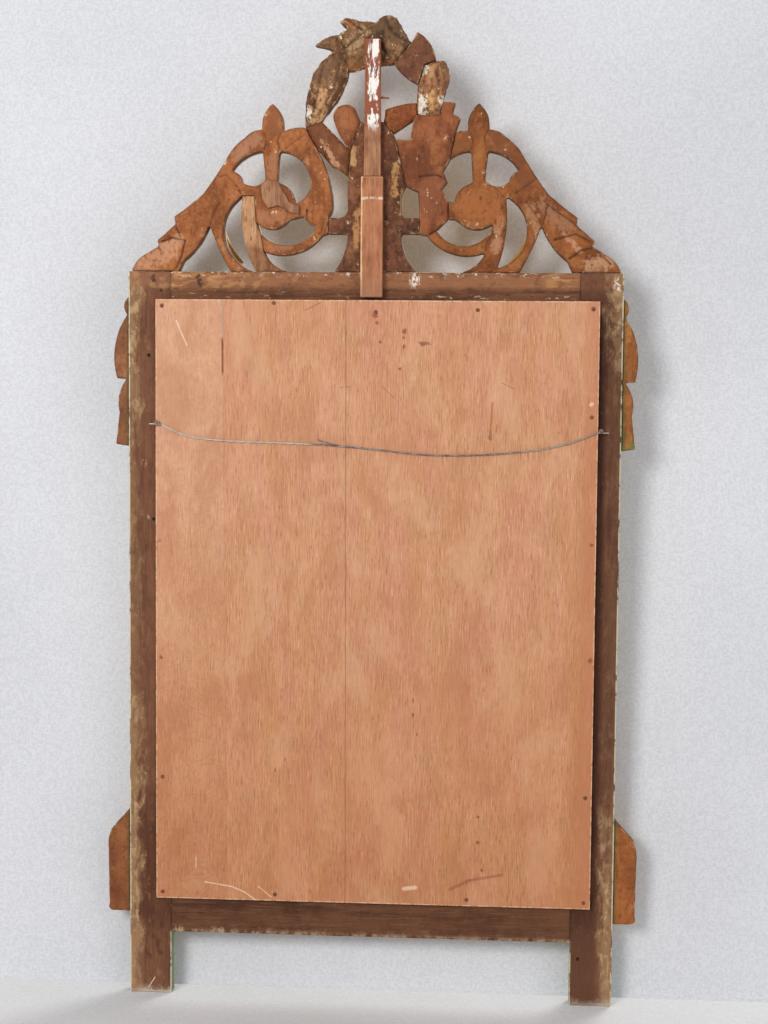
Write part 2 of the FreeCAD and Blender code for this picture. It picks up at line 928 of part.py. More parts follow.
def crest_dowels():
    """Dowels that stand half in the frame and half in the crest."""
    places = (STILE_DOWEL_X, f"-{STILE_DOWEL_X}", "post_dowel_offset", "-post_dowel_offset")
    pins = [
        upright_cylinder(
            f"dowel_{number}",
            "dowel_dia / 2",
            "2 * dowel_reach",
            x,
            DOWEL_Y,
            "frame_height - dowel_reach",
        )
        for number, x in enumerate(places)
    ]
    keep(group("dowels", pins), "crest_dowels")


crest_dowels()

# Rosettes: petals and a raised eye on the front of the scroll discs
DISC_CENTRE = (126.5, 80.0)


PETAL_EDGE = ((0.0, 0.72), (0.22, 0.95), (0.5, 1.0), (0.78, 0.95))
PETAL_TOP_SHARE = 0.8
EYE_SIDES = 12
EYE_TOP_SHARE = 0.5


def petal_outline(radius):
    """Equal lobes round a circle, as a straight-sided outline."""
    step = 2 * math.pi / PETALS
    points = []
    for number in range(PETALS):
        for turn, reach in PETAL_EDGE:
            angle = step * (number + turn)
            points.append((radius * reach * math.cos(angle), radius * reach * math.sin(angle)))
    return points


def eye_outline(radius):
    """The many-sided eye of a flower."""
    step = 2 * math.pi / EYE_SIDES
    return [(radius * math.cos(step * n), radius * math.sin(step * n)) for n in range(EYE_SIDES)]


def rosette(side, sign):
    """A carved flower with a raised eye."""
    name = f"rosette_{side}"
    across = f"({HALF} - crest_inset) * {sign * DISC_CENTRE[0] / PATTERN_HALF}"
    rise = f"frame_height + crest_rise * {DISC_CENTRE[1] / PATTERN_RISE}"
    place = (across, f"{BACK} - crest_thick", rise)
    body = new_body(f"{name}_blank", *place)
    radius = size("rosette_radius")
    edge = size("rosette_edge")
    rise_y = size("rosette_rise")
    petals = petal_outline(radius)
    pad(body, sketch(body, f"{name}_petals", "XZ_Plane", [petals]), f"{name}_flower", "rosette_edge")
    crown_pair = (petals, petal_outline(radius * PETAL_TOP_SHARE))
    crown = raised(f"{name}_crown", crown_pair, edge, rise_y, place)
    eye_radius = size("rosette_eye_radius")
    eye_pair = (eye_outline(eye_radius), eye_outline(eye_radius * EYE_TOP_SHARE))
    eye = raised(f"{name}_eye", eye_pair, edge + rise_y, size("rosette_eye_proud"), place)
    keep(fuse(f"{name}_carved", [body, crown, eye]), name)


rosette("right", 1)
rosette("left", -1)

# Battens on the back of the crest
BATTEN_HIGH = "(frame_height + batten_height)"
keep(
    box(
        "batten",
        "batten_width",
        "batten_thick",
        "batten_lap + batten_height",
        "batten_shift - batten_width / 2",
        BACK,
        "frame_height - batten_lap",
    ),
    "batten_lower",
)


def strut():
    """The tapered upper batten, from the lower one up to the top of the wreath."""
    body = new_body("batten_upper", "batten_shift", f"{BACK} + strut_thick", f"{BATTEN_HIGH} + strut_gap")
    foot = size("strut_foot_width") / 2
    tip = size("strut_tip_width") / 2
    length = size("strut_length")
    drawing = sketch(body, "strut_lines", "XZ_Plane", [[(-foot, 0), (foot, 0), (tip, length), (-tip, length)]])
    pad(body, drawing, "strut_pad", "strut_thick")
    keep(body, "batten_upper")


strut()

# Ears on the sides of the stiles, as (out from the stile, along the stile) in shares of width and length
UPPER_EAR = [
    (0, 0),
    (0.36, -0.06, 0.14, -0.12),
    (1.0, -0.33, 0.86, -0.545),
    (0.2, -0.55),
    (0.76, -0.68, 0.7, -0.77),
    (0.94, -0.985),
    (0, -1),
]
LOWER_EAR = [
    (0, 0),
    (0.78, 0),
    (0.93, 0.015, 0.96, 0.07),
    (1.0, 0.6),
    (0.98, 0.7, 0.86, 0.79),
    (0, 1),
]


UPPER_EAR_LEAVES = [
    (0.47, -0.36, 0.32, 0.8, 4),
    (0.4, -0.8, 0.3, 0.62, 4),
]
LOWER_EAR_LEAVES = [
    (0.5, 0.4, 0.66, 0.7, 0),
]


def ear(name, outline, leaves, width, length, x, z, sign):
    """A carved side piece glued to a stile, leaves given as shares of its width and length."""
    place = (x, f"{BACK} - ear_setback", z)
    body = new_body(f"{name}_blank", *place)
    shape = outline if sign > 0 else mirrored(outline)
    drawing = sketch(body, f"{name}_outline", "XZ_Plane", [shape], width, length)
    pad(body, drawing, f"{name}_board", "ear_thick")
    forms = [body]
    for number, (across, along, long_share, wide_share, lean) in enumerate(leaves):
        pair = leaf_outlines(
            sign * across * width,
            along * length,
            long_share * length,
            wide_share * width,
            sign * lean,
        )
        forms.append(raised(f"{name}_leaf_{number}", pair, size("ear_thick"), size("ear_proud"), place))
    keep(fuse(f"{name}_carved", forms), name)


for ear_side, ear_sign in (("right", 1), ("left", -1)):
    ear_x = HALF if ear_sign > 0 else f"-{HALF}"
    ear(
        f"ear_upper_{ear_side}",
        UPPER_EAR,
        UPPER_EAR_LEAVES,
        size("upper_ear_width"),
        size("upper_ear_length"),
        ear_x,
        "frame_height - upper_ear_drop",
        ear_sign,
    )
    ear(
        f"ear_lower_{ear_side}",
        LOWER_EAR,
        LOWER_EAR_LEAVES,
        size("lower_ear_width"),
        size("lower_ear_height"),
        ear_x,
        "lower_ear_foot",
        ear_sign,
    )

# Hanging wire: two nails, two wraps and the slack stretch between them
wire_y = panel_back + size("wire_clear") + size("wire_dia") / 2
wrap_radius = size("wire_nail_dia") / 2 + size("wrap_clear") + size("wrap_dia") / 2
WIRE_ENDS = {
    "right": (half_width - size("wire_nail_edge_right"), size("frame_height") - size("wire_nail_drop_right"), 1),
    "left": (-(half_width - size("wire_nail_edge_left")), size("frame_height") - size("wire_nail_drop_left"), -1),
}
# Stops of the slack stretch from right to left: share of the way across, and drop below the line of the ends
WIRE_PATTERN_SPAN = 535.8
WIRE_END_GAP = 1.0
WIRE_ROUTE = (
    (0.0, 0.0),
    (0.0355, 11.95),
    (0.1064, 18.34),
    (0.1997, 20.01),
    (0.3023, 20.43),
    (0.405, 22.04),
    (0.5039, 26.28),
    (0.601, 31.52),
    (0.6943, 31.39),
    (0.7876, 28.06),
    (0.8735, 22.17),
    (0.9388, 13.8),
    (0.978, 5.78),
    (1.0, 0.0),
)


def rounded_path(points):
    """Straight runs joined by tangent arcs, each as large as its two runs allow."""
    edges = []
    radii = []
    here = points[0]
    for before, corner, after in zip(points, points[1:], points[2:]):
        into = (corner - before).normalize()
        out = (after - corner).normalize()
        trim = TUBE_BEND_SHARE * min((corner - before).Length, (after - corner).Length)
        half_turn = into.getAngle(out) / 2
        radius = trim / math.tan(half_turn)
        radii.append(radius)
        start = corner - into * trim
        end = corner + out * trim
        inward = (out - into).normalize()
        middle = corner + inward * (radius / math.cos(half_turn) - radius)
        edges.append(Part.LineSegment(here, start).toShape())
        edges.append(Part.Arc(start, middle, end).toShape())
        here = end
    edges.append(Part.LineSegment(here, points[-1]).toShape())
    return Part.Wire(edges), radii


def tube(path, radius, start, heading):
    """A wire of near-round section along a path."""
    return path.makePipeShell([ring_of(WIRE_SIDES, radius, start, heading)], True, False)


def report_tube(name, solid, path, radius):
    """Prints a tube's volume beside its section times its length."""
    expected = math.pi * radius * radius * path.Length
    print(f"{name}: length {path.Length:.1f} volume {solid.Volume:.1f} expected {expected:.1f}")


def hanging_wire():
    """The slack stretch, free to swing up about the line through its two ends."""
    ends = []
    for nail_x, nail_z, sign in WIRE_ENDS.values():
        inset = size("wrap_lead") + WIRE_END_GAP
        ends.append(FreeCAD.Vector(nail_x - sign * inset, wire_y, nail_z - wrap_radius))
    across = ends[1] - ends[0]
    slack = across.Length / WIRE_PATTERN_SPAN
    points = [ends[0] + across * share - FreeCAD.Vector(0, 0, drop * slack) for share, drop in WIRE_ROUTE]
    path, radii = rounded_path(points)
    radius = size("wire_dia") / 2
    solid = tube(path, radius, points[0], points[1] - points[0])
    report_tube("hanging_wire", solid, path, radius)
    print("hanging_wire radii:", " ".join(f"{value:.0f}" for value in radii))
    solid_feature("hanging_wire", solid)


def arc_from(start, heading, end):
    """The arc that leaves start along heading and ends at end."""
    chord = end - start
    along = FreeCAD.Vector(chord).normalize()
    sideways = heading - along * heading.dot(along)
    angle = heading.getAngle(chord)
    bulge = chord.Length / 2 * math.tan(angle / 2)
    middle = start + chord * 0.5 + sideways.normalize() * bulge
    return Part.Arc(start, middle, end).toShape()


def biarc(start, heading, end, leaving):
    """Two arcs that join two points along given headings."""
    chord = end - start
    spread = 2 * (1 - heading.dot(leaving))
    lean = chord.dot(heading + leaving)
    reach = (-lean + math.sqrt(lean * lean + spread * chord.dot(chord))) / spread
    joint = (start + end + (heading - leaving) * reach) * 0.5
    mid_heading = (end - start - (heading + leaving) * reach).normalize()
    return [arc_from(start, heading, joint), arc_from(joint, mid_heading, end)]


def wrap(side):
    """Turns of wire round a nail, with a lead towards the free stretch and a short tail."""
    nail_x, nail_z, sign = WIRE_ENDS[side]
    pitch = size("wrap_pitch")
    flat = FreeCAD.Vector(sign, 0, 0)
    climb = pitch / (2 * math.pi * wrap_radius)
    stops = []
    for quarter in range(WRAP_TURNS * QUARTERS + 1):
        angle = -math.pi / 2 + sign * quarter * 2 * math.pi / QUARTERS
        place = FreeCAD.Vector(
            nail_x + wrap_radius * math.cos(angle),
            wire_y + pitch * quarter / QUARTERS,
            nail_z + wrap_radius * math.sin(angle),
        )
        heading = FreeCAD.Vector(-math.sin(angle) * sign, climb, math.cos(angle) * sign).normalize()
        stops.append((place, heading))
    stops[0] = (stops[0][0], flat)
    stops[-1] = (stops[-1][0], flat)
    lead = stops[0][0] - flat * size("wrap_lead")
    tail = stops[-1][0] + flat * size("wrap_tail")
    edges = [Part.LineSegment(lead, stops[0][0]).toShape()]
    for (start, heading), (end, leaving) in zip(stops, stops[1:]):
        edges += biarc(start, heading, end, leaving)
    edges.append(Part.LineSegment(stops[-1][0], tail).toShape())
    path = Part.Wire(edges)
    radius = size("wrap_dia") / 2
    solid = tube(path, radius, lead, flat)
    report_tube(f"wire_wrap_{side}", solid, path, radius)
    samples = path.discretize(Number=400)
    step = path.Length / 399
    far = int(math.ceil(math.pi * wrap_radius / step))
    least = min(
        (samples[i] - samples[j]).Length for i in range(len(samples)) for j in range(i + far, len(samples))
    )
    print(f"wire_wrap_{side} least gap to itself {least - 2 * radius:.2f}")
    solid_feature(f"wire_wrap_{side}", solid)


def wire_nail(side):
    """A stout nail left standing out of the frame."""
    x, z, _ = WIRE_ENDS[side]
    under_head = FreeCAD.Vector(x, back_y + size("wire_nail_stand"), z)
    shape = nail(
        under_head,
        size("wire_nail_length"),
        size("wire_nail_dia"),
        size("wire_nail_head_dia"),
        size("wire_nail_head_thick"),
    )
    solid_feature(f"wire_nail_{side}", shape)


for wire_side in WIRE_ENDS:
    wire_nail(wire_side)
    wrap(wire_side)
hanging_wire()

doc.recompute()
for item in doc.Objects:
    broken = [state for state in item.State if state in ("Invalid", "Error")]
    if broken:
        raise RuntimeError(f"{item.Name} did not rebuild: {broken}")
for item in nodes:
    if item.Shape.isNull() or not item.Shape.isValid():
        raise RuntimeError(f"{item.Label} has no valid shape")

os.makedirs("parts", exist_ok=True)
for item in nodes:
    item.Shape.exportStep(os.path.join("parts", f"{item.Label}.step"))
    bounds = item.Shape.BoundBox
    print(f"{item.Label}: {len(item.Shape.Solids)} solid(s), volume {item.Shape.Volume:.0f}, "
          f"x {bounds.XMin:.1f}..{bounds.XMax:.1f} y {bounds.YMin:.1f}..{bounds.YMax:.1f} "
          f"z {bounds.ZMin:.1f}..{bounds.ZMax:.1f}")
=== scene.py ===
"""A carved wall mirror seen from behind, dressed over its jointed solids. Metres, front at -Y."""

import math

import bmesh
import bpy
import numpy as np
from mathutils import Matrix, Vector, kdtree


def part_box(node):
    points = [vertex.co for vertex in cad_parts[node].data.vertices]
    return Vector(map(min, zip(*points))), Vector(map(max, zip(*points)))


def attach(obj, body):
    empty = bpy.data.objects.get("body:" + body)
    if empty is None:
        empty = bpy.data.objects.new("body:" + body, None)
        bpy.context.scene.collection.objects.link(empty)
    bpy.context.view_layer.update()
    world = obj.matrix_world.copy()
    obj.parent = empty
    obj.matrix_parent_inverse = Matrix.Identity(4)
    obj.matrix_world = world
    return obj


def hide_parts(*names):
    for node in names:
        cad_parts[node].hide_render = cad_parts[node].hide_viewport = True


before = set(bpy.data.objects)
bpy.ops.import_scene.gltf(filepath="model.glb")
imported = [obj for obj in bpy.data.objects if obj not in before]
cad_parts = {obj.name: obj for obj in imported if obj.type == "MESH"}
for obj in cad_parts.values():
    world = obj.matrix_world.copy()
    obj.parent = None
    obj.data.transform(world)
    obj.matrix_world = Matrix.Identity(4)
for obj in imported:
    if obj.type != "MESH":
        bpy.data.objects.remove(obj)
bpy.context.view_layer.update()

MM = 0.001


# Shader arithmetic


class Shade:
    """An output socket of a finish, which takes part in arithmetic."""

    def __init__(self, tree, socket=None):
        self.tree = tree
        self.socket = socket

    def node(self, kind, settings=None, sockets=None, out=0):
        """Any node: its type, its settings, then the values or links of its sockets."""
        made = self.tree.nodes.new(kind)
        for name, value in (settings or {}).items():
            setattr(made, name, value)
        for key, value in (sockets or {}).items():
            if isinstance(value, Shade):
                self.tree.links.new(value.socket, made.inputs[key])
            else:
                made.inputs[key].default_value = value
        return Shade(self.tree, None if out is None else made.outputs[out])

    def beside(self, out):
        """Another output of the same node."""
        return Shade(self.tree, self.socket.node.outputs[out])

    def maths(self, operation, first, second=0.0, clamp=False):
        settings = {"operation": operation, "use_clamp": clamp}
        return self.node("ShaderNodeMath", settings, {0: first, 1: second})

    def __add__(self, other):
        return self.maths("ADD", self, other)

    __radd__ = __add__

    def __sub__(self, other):
        return self.maths("SUBTRACT", self, other)

    def __rsub__(self, other):
        return self.maths("SUBTRACT", other, self)

    def __mul__(self, other):
        return self.maths("MULTIPLY", self, other)

    __rmul__ = __mul__

    def __truediv__(self, other):
        return self.maths("DIVIDE", self, other)

    def __abs__(self):
        return self.maths("ABSOLUTE", self)

    def sine(self):
        return self.maths("SINE", self)

    def most(self, other):
        return self.maths("MAXIMUM", self, other)


def tone(colour):
    """A colour as seen on screen, 0 to 255, turned into the linear colour that a shader takes."""
    if isinstance(colour, Shade):
        return colour
    shares = [value / 255 for value in colour]
    linear = [share / 12.92 if share < 0.04045 else ((share + 0.055) / 1.055) ** 2.4 for share in shares]
    return (*linear, 1.0)


def ease(value, low, high):
    """0 at low, 1 at high, smooth between."""
    settings = {"interpolation_type": "SMOOTHSTEP"}
    return value.node("ShaderNodeMapRange", settings, {"Value": value, "From Min": low, "From Max": high})


def over(under, top, mask, blend="MIX"):
    """The colour top laid on the colour under where mask is 1."""
    settings = {"data_type": "RGBA", "blend_type": blend}
    return mask.node("ShaderNodeMix", settings, {0: mask, 6: tone(under), 7: tone(top)}, out=2)


class Coat:
    """A colour built up in layers, each of them there where its mask is 1."""

    def __init__(self, colour):
        self.colour = colour

    def lay(self, top, mask):
        """A layer that hides what lies under it."""
        self.colour = over(self.colour, top, mask)

    def glaze(self, top, mask):
        """A clear layer that darkens what lies under it."""
        self.colour = over(self.colour, top, mask, "MULTIPLY")


class Spot:
    """A point of a surface in millimetres, and the patterns that are laid out from it."""

    def __init__(self, base):
        self.base = base
        coords = base.node("ShaderNodeTexCoord", out="Object")
        self.place = self.vector("SCALE", {0: coords, "Scale": 1 / MM})
        self.x = base.node("ShaderNodeSeparateXYZ", sockets={0: self.place})
        self.y = self.x.beside(1)
        self.z = self.x.beside(2)
        self.flat = self.vector("MULTIPLY", {0: self.place, 1: (1, 0, 1)})

    def vector(self, operation, sockets, out=0):
        """A step of vector arithmetic; out is 1 for those that give a number."""
        return self.base.node("ShaderNodeVectorMath", {"operation": operation}, sockets, out)

    def turned(self, lengths, shift):
        """The point counted in pattern lengths along x, y and z, or in one length for all three."""
        if isinstance(lengths, (int, float)):
            lengths = (lengths,) * 3
        sockets = {
            "Vector": self.place,
            "Location": (shift, shift * 0.7, shift * 1.3),
            "Scale": tuple(1 / length for length in lengths),
        }
        return self.base.node("ShaderNodeMapping", sockets=sockets)

    def field(self, lengths, detail, rough, shift, bend=0.0):
        """Noise about 0.5 whose patches are about the given lengths."""
        sockets = {
            "Vector": self.turned(lengths, shift),
            "Scale": 1.0,
            "Detail": detail,
            "Roughness": rough,
            "Distortion": bend,
        }
        return self.base.node("ShaderNodeTexNoise", sockets=sockets)

    def cells(self, lengths, shift):
        """Distance to the nearest of scattered points, as gouge cuts leave it."""
        settings = {"feature": "SMOOTH_F1"}
        sockets = {"Vector": self.turned(lengths, shift), "Scale": 1.0, "Smoothness": 0.25}
        return self.base.node("ShaderNodeTexVoronoi", settings, sockets)

    def cracks(self, lengths, shift):
        """Distance to the edges between scattered cells."""
        settings = {"feature": "DISTANCE_TO_EDGE"}
        sockets = {"Vector": self.turned(lengths, shift), "Scale": 1.0}
        return self.base.node("ShaderNodeTexVoronoi", settings, sockets)

    def along(self, start, end):
        """Distance in x and z to the straight line from start to end."""
        run = Vector((end[0] - start[0], 0, end[1] - start[1]))
        offset = self.vector("SUBTRACT", {0: self.flat, 1: (start[0], 0, start[1])})
        share = self.vector("DOT_PRODUCT", {0: offset, 1: run / run.length_squared}, 1)
        share = self.base.maths("ADD", share, 0.0, clamp=True)
        nearest = self.vector("SCALE", {0: tuple(run), "Scale": share})
        return self.vector("DISTANCE", {0: offset, 1: nearest}, 1)

    def stroke(self, start, end, width, ragged=None):
        """A mark drawn from start to end, width wide."""
        distance = self.along(start, end)
        if ragged is not None:
            distance = distance + ragged
        return ease(distance, width * 0.5, width * 0.2)

    def blot(self, x, z, wide, high, ragged, soft=0.5):
        """An oval mark centred on x and z."""
        offset = self.vector("SUBTRACT", {0: self.flat, 1: (x, 0, z)})
        shares = self.vector("MULTIPLY", {0: offset, 1: (2 / wide, 0, 2 / high)})
        distance = self.vector("LENGTH", {0: shares}, 1) + ragged
        return ease(distance, 1.0, 1.0 - soft)

    def worn(self, name):
        """A value that a piece carries at its points, 0 where it has none."""
        return self.base.node("ShaderNodeAttribute", {"attribute_name": name}, out="Fac")


def started(name):
    """A new finish and the point that its patterns are laid out from."""
    material = bpy.data.materials.new(name)
    material.use_nodes = True
    material.node_tree.nodes.clear()
    return material, Spot(Shade(material.node_tree))


def finished(spot, coat, roughness, relief, depth, metallic=0.0, gloss=0.2):
    """Closes a finish: coat, roughness and a relief that is depth millimetres high."""
    sockets = {"Strength": 1.0, "Distance": depth * MM, "Height": relief}
    bump = spot.base.node("ShaderNodeBump", sockets=sockets)
    sockets = {
        "Base Color": coat.colour,
        "Roughness": roughness,
        "Metallic": metallic,
        "Specular IOR Level": gloss,
        "Normal": bump,
    }
    shader = spot.base.node("ShaderNodeBsdfPrincipled", sockets=sockets)
    spot.base.node("ShaderNodeOutputMaterial", sockets={"Surface": shader}, out=None)


# Panel, plate and nails, in millimetres

PANEL_MIDDLE = -3.0
PANEL_REACH = 265.0
PANEL_BACK = 16.0
PANEL_CENTRE = 501.75
PLATE_CENTRE = 500.0
NAIL_TOP = 870.5
NAIL_FOOT = 133.0
TOP_NAILS = ((-1.0, 1.3), (-0.47, 3.3), (0.0, 6.4), (0.475, -4.0), (1.0, 0.0))
FOOT_NAILS = (-1.0, -0.45, 0.46, 1.0)
SIDE_NAILS = ((-1, 0.18), (-1, 0.82), (1, 0.2))
NAILS = [(share, NAIL_TOP - drop) for share, drop in TOP_NAILS]
NAILS += [(share, NAIL_FOOT) for share in FOOT_NAILS]
NAILS += [(share, NAIL_FOOT + (NAIL_TOP - NAIL_FOOT) * rise) for share, rise in SIDE_NAILS]
NAILS = [(PANEL_MIDDLE + PANEL_REACH * share, height) for share, height in NAILS]


# Woods and finishes

ALONG_X = (1.0, 0.06, 0.06)
ALONG_Z = (0.06, 0.06, 1.0)


def grained(spot, dark, middle, light, run, shift, plain=0.0):
    """Raw wood whose grain runs along one axis, fainter where plain is near 1: its coat and its relief."""
    broad = spot.field([260 * share for share in run], 4.0, 0.6, shift, 0.4)
    fine = spot.field([46 * max(share, 0.035) for share in run], 3.0, 0.6, shift + 7)
    pores = ease(spot.field([12 * max(share, 0.06) for share in run], 1.0, 0.5, shift + 3), 0.62, 0.72)
    if plain:
        patch = spot.field((24, 24, 30), 4.0, 0.6, shift + 19)
        broad = broad * (1 - plain) + patch * plain
    coat = Coat(over(dark, middle, ease(broad, 0.34, 0.56)))
    coat.lay(light, ease(fine, 0.48, 0.72) * (0.7 - plain * 0.45))
    coat.glaze((150, 128, 116), pores * (0.8 - plain * 0.5))
    return coat, broad * 0.5 + fine * 0.6 - pores * 0.4


GOLD = (203, 160, 84)
DULL_GOLD = (164, 122, 62)
BOLE = (138, 62, 40)
GESSO = (226, 216, 198)
SAGE = (120, 136, 96)
DARK_SAGE = (92, 106, 74)


def gilded(spot, shift):
    """Old gilding: its coat, roughness and metal share, with red ground and white ground in the wear."""
    patch = spot.field(22, 5.0, 0.62, shift)
    rubbed = spot.worn("ridge")
    lost = ease(patch + rubbed * 0.16, 0.58, 0.66)
    chipped = ease(spot.field(9, 4.0, 0.65, shift + 5) + rubbed * 0.08, 0.66, 0.69)
    coat = Coat(over(GOLD, DULL_GOLD, ease(spot.field(40, 3.0, 0.5, shift + 9), 0.4, 0.62)))
    coat.glaze((120, 92, 66), ease(spot.worn("hollow"), 0.1, 0.9))
    coat.lay(BOLE, lost * 0.85)
    coat.lay(GESSO, chipped)
    metal = (1 - lost) * (1 - chipped) * 0.85
    rough = 0.34 + patch * 0.16 + lost * 0.25 + chipped * 0.3
    return coat, rough, metal


def painted(spot, under, shift, run):
    """Old green paint on gesso, worn through to the wood under it."""
    brush = spot.field([120 * max(share, 0.03) for share in run], 3.0, 0.6, shift)
    coat = Coat(over(SAGE, DARK_SAGE, ease(brush, 0.4, 0.66)))
    crackle = ease(spot.cracks(11, shift), 0.05, 0.0)
    coat.glaze((150, 146, 120), crackle * 0.6)
    rubbed = spot.worn("ridge")
    loss = spot.field((26, 26, 34), 5.0, 0.62, shift + 4)
    coat.lay(GESSO, ease(loss + rubbed * 0.2, 0.63, 0.66))
    coat.lay(under, ease(loss + rubbed * 0.2, 0.69, 0.72))
    return coat.colour


def stile_wear(coat, spot, specks, upper, shift):
    """Marks on the back of a stile: pale outer wood, pits, streaks, a rubbed foot, holes and chips, and
    painted shade beside the panel.
    """
    z = spot.z
    wide = abs(spot.x)
    ragged = specks - 0.5
    left_side = ease(spot.x, 100, -100)
    patch = spot.field((16, 16, 40), 5.0, 0.7, shift + 27, 0.6)
    ends = ease(z, 760, 880).most(ease(z, 300, 120))
    outer = ease(wide + (patch - 0.5) * 70, 283, 299) * (1 - left_side * (1 - ends) * 0.85)
    outer = outer * (1 - (1 - left_side) * ease(z, 330, 420) * ease(z, 790, 720) * 0.55)
    coat.lay((112, 70, 50), 0.45 - left_side * 0.1)
    coat.glaze((214, 206, 206), left_side * ease(z, 160, 320))
    coat.glaze((216, 210, 210), left_side * ease(z, 700, 800) * ease(z, 900, 860))
    low_end = ease(z, 330, 180)
    coat.lay((152, 119, 84), outer * (0.65 + low_end * 0.15))
    coat.glaze((208, 198, 194), (1 - outer) * low_end * (1 - left_side) * ease(z, 60, 110))
    speck_patch = ease(spot.field((60, 60, 110), 3.0, 0.6, shift + 2), 0.38, 0.6)
    spread = ease(specks, 0.5, 0.6) * (0.4 + speck_patch * 0.6)
    coat.lay((186, 155, 114), outer * spread * (0.72 + low_end * 0.2))
    pits = spot.field((11, 11, 17), 5.0, 0.72, shift + 43)
    coat.lay((66, 40, 29), ease(pits, 0.52, 0.66) * (0.3 + low_end * 0.4) * (1 - outer * 0.6))
    coat.lay((140, 96, 68), ease(pits, 0.42, 0.3) * (0.25 + low_end * 0.3))
    # Painted shade and dirt: a darker band on the stile beside the panel edge, where the panel's shadow falls
    coat.glaze((158, 140, 134), left_side * ease(wide, 289, 280) * ease(z, 880, 850))
    streak = spot.field((5, 5, 70), 4.0, 0.65, shift + 31)
    coat.lay((84, 50, 37), ease(streak, 0.48, 0.34) * 0.35)
    sole = ease(z + ragged * 8, 5.0, 2.5)
    coat.lay((214, 196, 166), sole * 0.8)
    coat.lay((144, 98, 69), upper * (0.6 - left_side * 0.35))
    foot = ease(z + ragged * 30, 12, 2)
    coat.lay((182, 168, 152), foot * 0.6)
    pale_foot = ease(z, 120, 20) * ease(wide, 285, 300)
    coat.lay((158, 118, 88), pale_foot * (0.6 - left_side * 0.45))
    coat.lay((112, 74, 52), left_side * ease(z, 150, 60) * ease(wide, 296, 280) * 0.55)
    for hole_x, hole_z in ((263.5, 890), (279.4, 809.5), (-280, 604.5), (273.5, 605.6), (-262, 60)):
        coat.lay((38, 24, 18), spot.blot(hole_x, hole_z, 5.5, 6, ragged * 0.8))
    coat.lay((206, 176, 146), spot.stroke((281, 7), (273, 20), 1.8))
    for dab_x, dab_z, size in ((285, 676, 11), (280, 608, 8)):
        dab = spot.blot(dab_x, dab_z, size, size, ragged * 5) * ease(specks, 0.44, 0.54)
        coat.lay((188, 158, 132), dab * 0.8)
    chips = spot.blot(-297, 898, 18, 34, ragged * 9, 0.15) * ease(specks, 0.5, 0.54)
    coat.lay((214, 206, 190), chips)


def rail_wear(coat, spot, specks, upper, shift):
    """Marks on the back of a rail: raw ends, white seam under the crest, drips and a chipped lower edge."""
    z = spot.z
    ragged = specks - 0.5
    coat.lay((146, 97, 66), upper * 0.8)
    patches = ease(spot.field((34, 34, 9), 5.0, 0.7, shift + 23), 0.5, 0.6)
    coat.lay((112, 72, 48), patches * upper * 0.6)
    splinters = spot.field((26, 12, 5), 5.0, 0.7, shift + 35)
    raw_end = ease(splinters, 0.5, 0.6) * ease(abs(spot.x + 20), 150, 225) * upper
    coat.lay((194, 142, 88), raw_end * 0.6)
    coat.glaze((228, 219, 213), ease(z, 897, 886) * ease(z, 300, 500))
    seam = ease(z, 904, 912) * ease(spot.field((9, 9, 5), 4.0, 0.7, shift + 6), 0.57, 0.61)
    coat.lay(GESSO, seam * 0.85)
    drip = ease(z, 893, 880) * ease(z, 872, 884)
    drip = drip * ease(spot.field((12, 12, 5), 4.0, 0.7, shift + 9), 0.6, 0.64)
    coat.lay((206, 190, 168), drip * 0.6)
    splash = spot.blot(-50, 904, 17, 26, ragged * 8, 0.3) * ease(specks, 0.46, 0.52)
    coat.lay(GESSO, splash)
    bottom = ease(z, 300, 200)
    coat.glaze((224, 218, 214), bottom)
    edge = ease(z + ragged * 14, 87, 82) * ease(specks, 0.4, 0.6)
    coat.lay((176, 146, 116), edge * 0.7)
    chipped = ease(z + ragged * 40, 96, 84) * ease(specks, 0.55, 0.61) * bottom
    coat.lay((206, 180, 148), chipped * (0.25 + ease(spot.x, 100, 170) * 0.5))


def frame_wood(name, run, shift):
    """Stained pine of the frame: raw and grimy behind, green paint in front."""
    material, spot = started(name)
    coat, relief = grained(spot, (86, 54, 38), (116, 77, 53), (138, 100, 74), run, shift, 0.3)
    specks = spot.field((9, 9, 16), 5.0, 0.7, shift + 11)
    upper = ease(spot.z + (specks - 0.5) * 14, 889, 897)
    grime = ease(spot.field(70, 5.0, 0.65, shift + 13), 0.44, 0.7)
    coat.glaze((176, 158, 148), grime * 0.6)
    wear = stile_wear if run == ALONG_Z else rail_wear
    wear(coat, spot, specks, upper, shift)
    blotch = ease(spot.field((22, 22, 20), 4.0, 0.65, shift + 8), 0.54, 0.62) * upper
    coat.lay((184, 140, 90), blotch * ease(spot.x, 20, 180) * 0.4)
    stain = ease(spot.field(15, 4.0, 0.65, shift + 1), 0.56, 0.64) * upper
    coat.lay((58, 40, 30), stain * (0.35 + ease(spot.x, 100, 220) * 0.45))
    if run == ALONG_Z:
        wide = abs(spot.x)
        rim = ease(wide, 302.6, 304.0).most(ease(wide, 253.6, 252.6) * ease(spot.z, 82, 78))
        coat.lay((216, 208, 176), rim * ease(specks, 0.4, 0.5) * 0.9)
    dust = ease(spot.field(3, 2.0, 0.6, shift + 17), 0.68, 0.72)
    coat.lay((176, 148, 120), dust * 0.15)
    front = spot.y + (spot.field(18, 4.0, 0.65, shift + 5) - 0.5) * 7
    coat.lay(GESSO, ease(front, 9.6, 9.0))
    smooth = ease(front, 8.4, 7.8)
    coat.lay(painted(spot, (128, 92, 66), shift, run), smooth)
    finished(spot, coat, 0.8 - smooth * 0.25, relief, 0.35)
    return material


GILT_FROM = -9.0


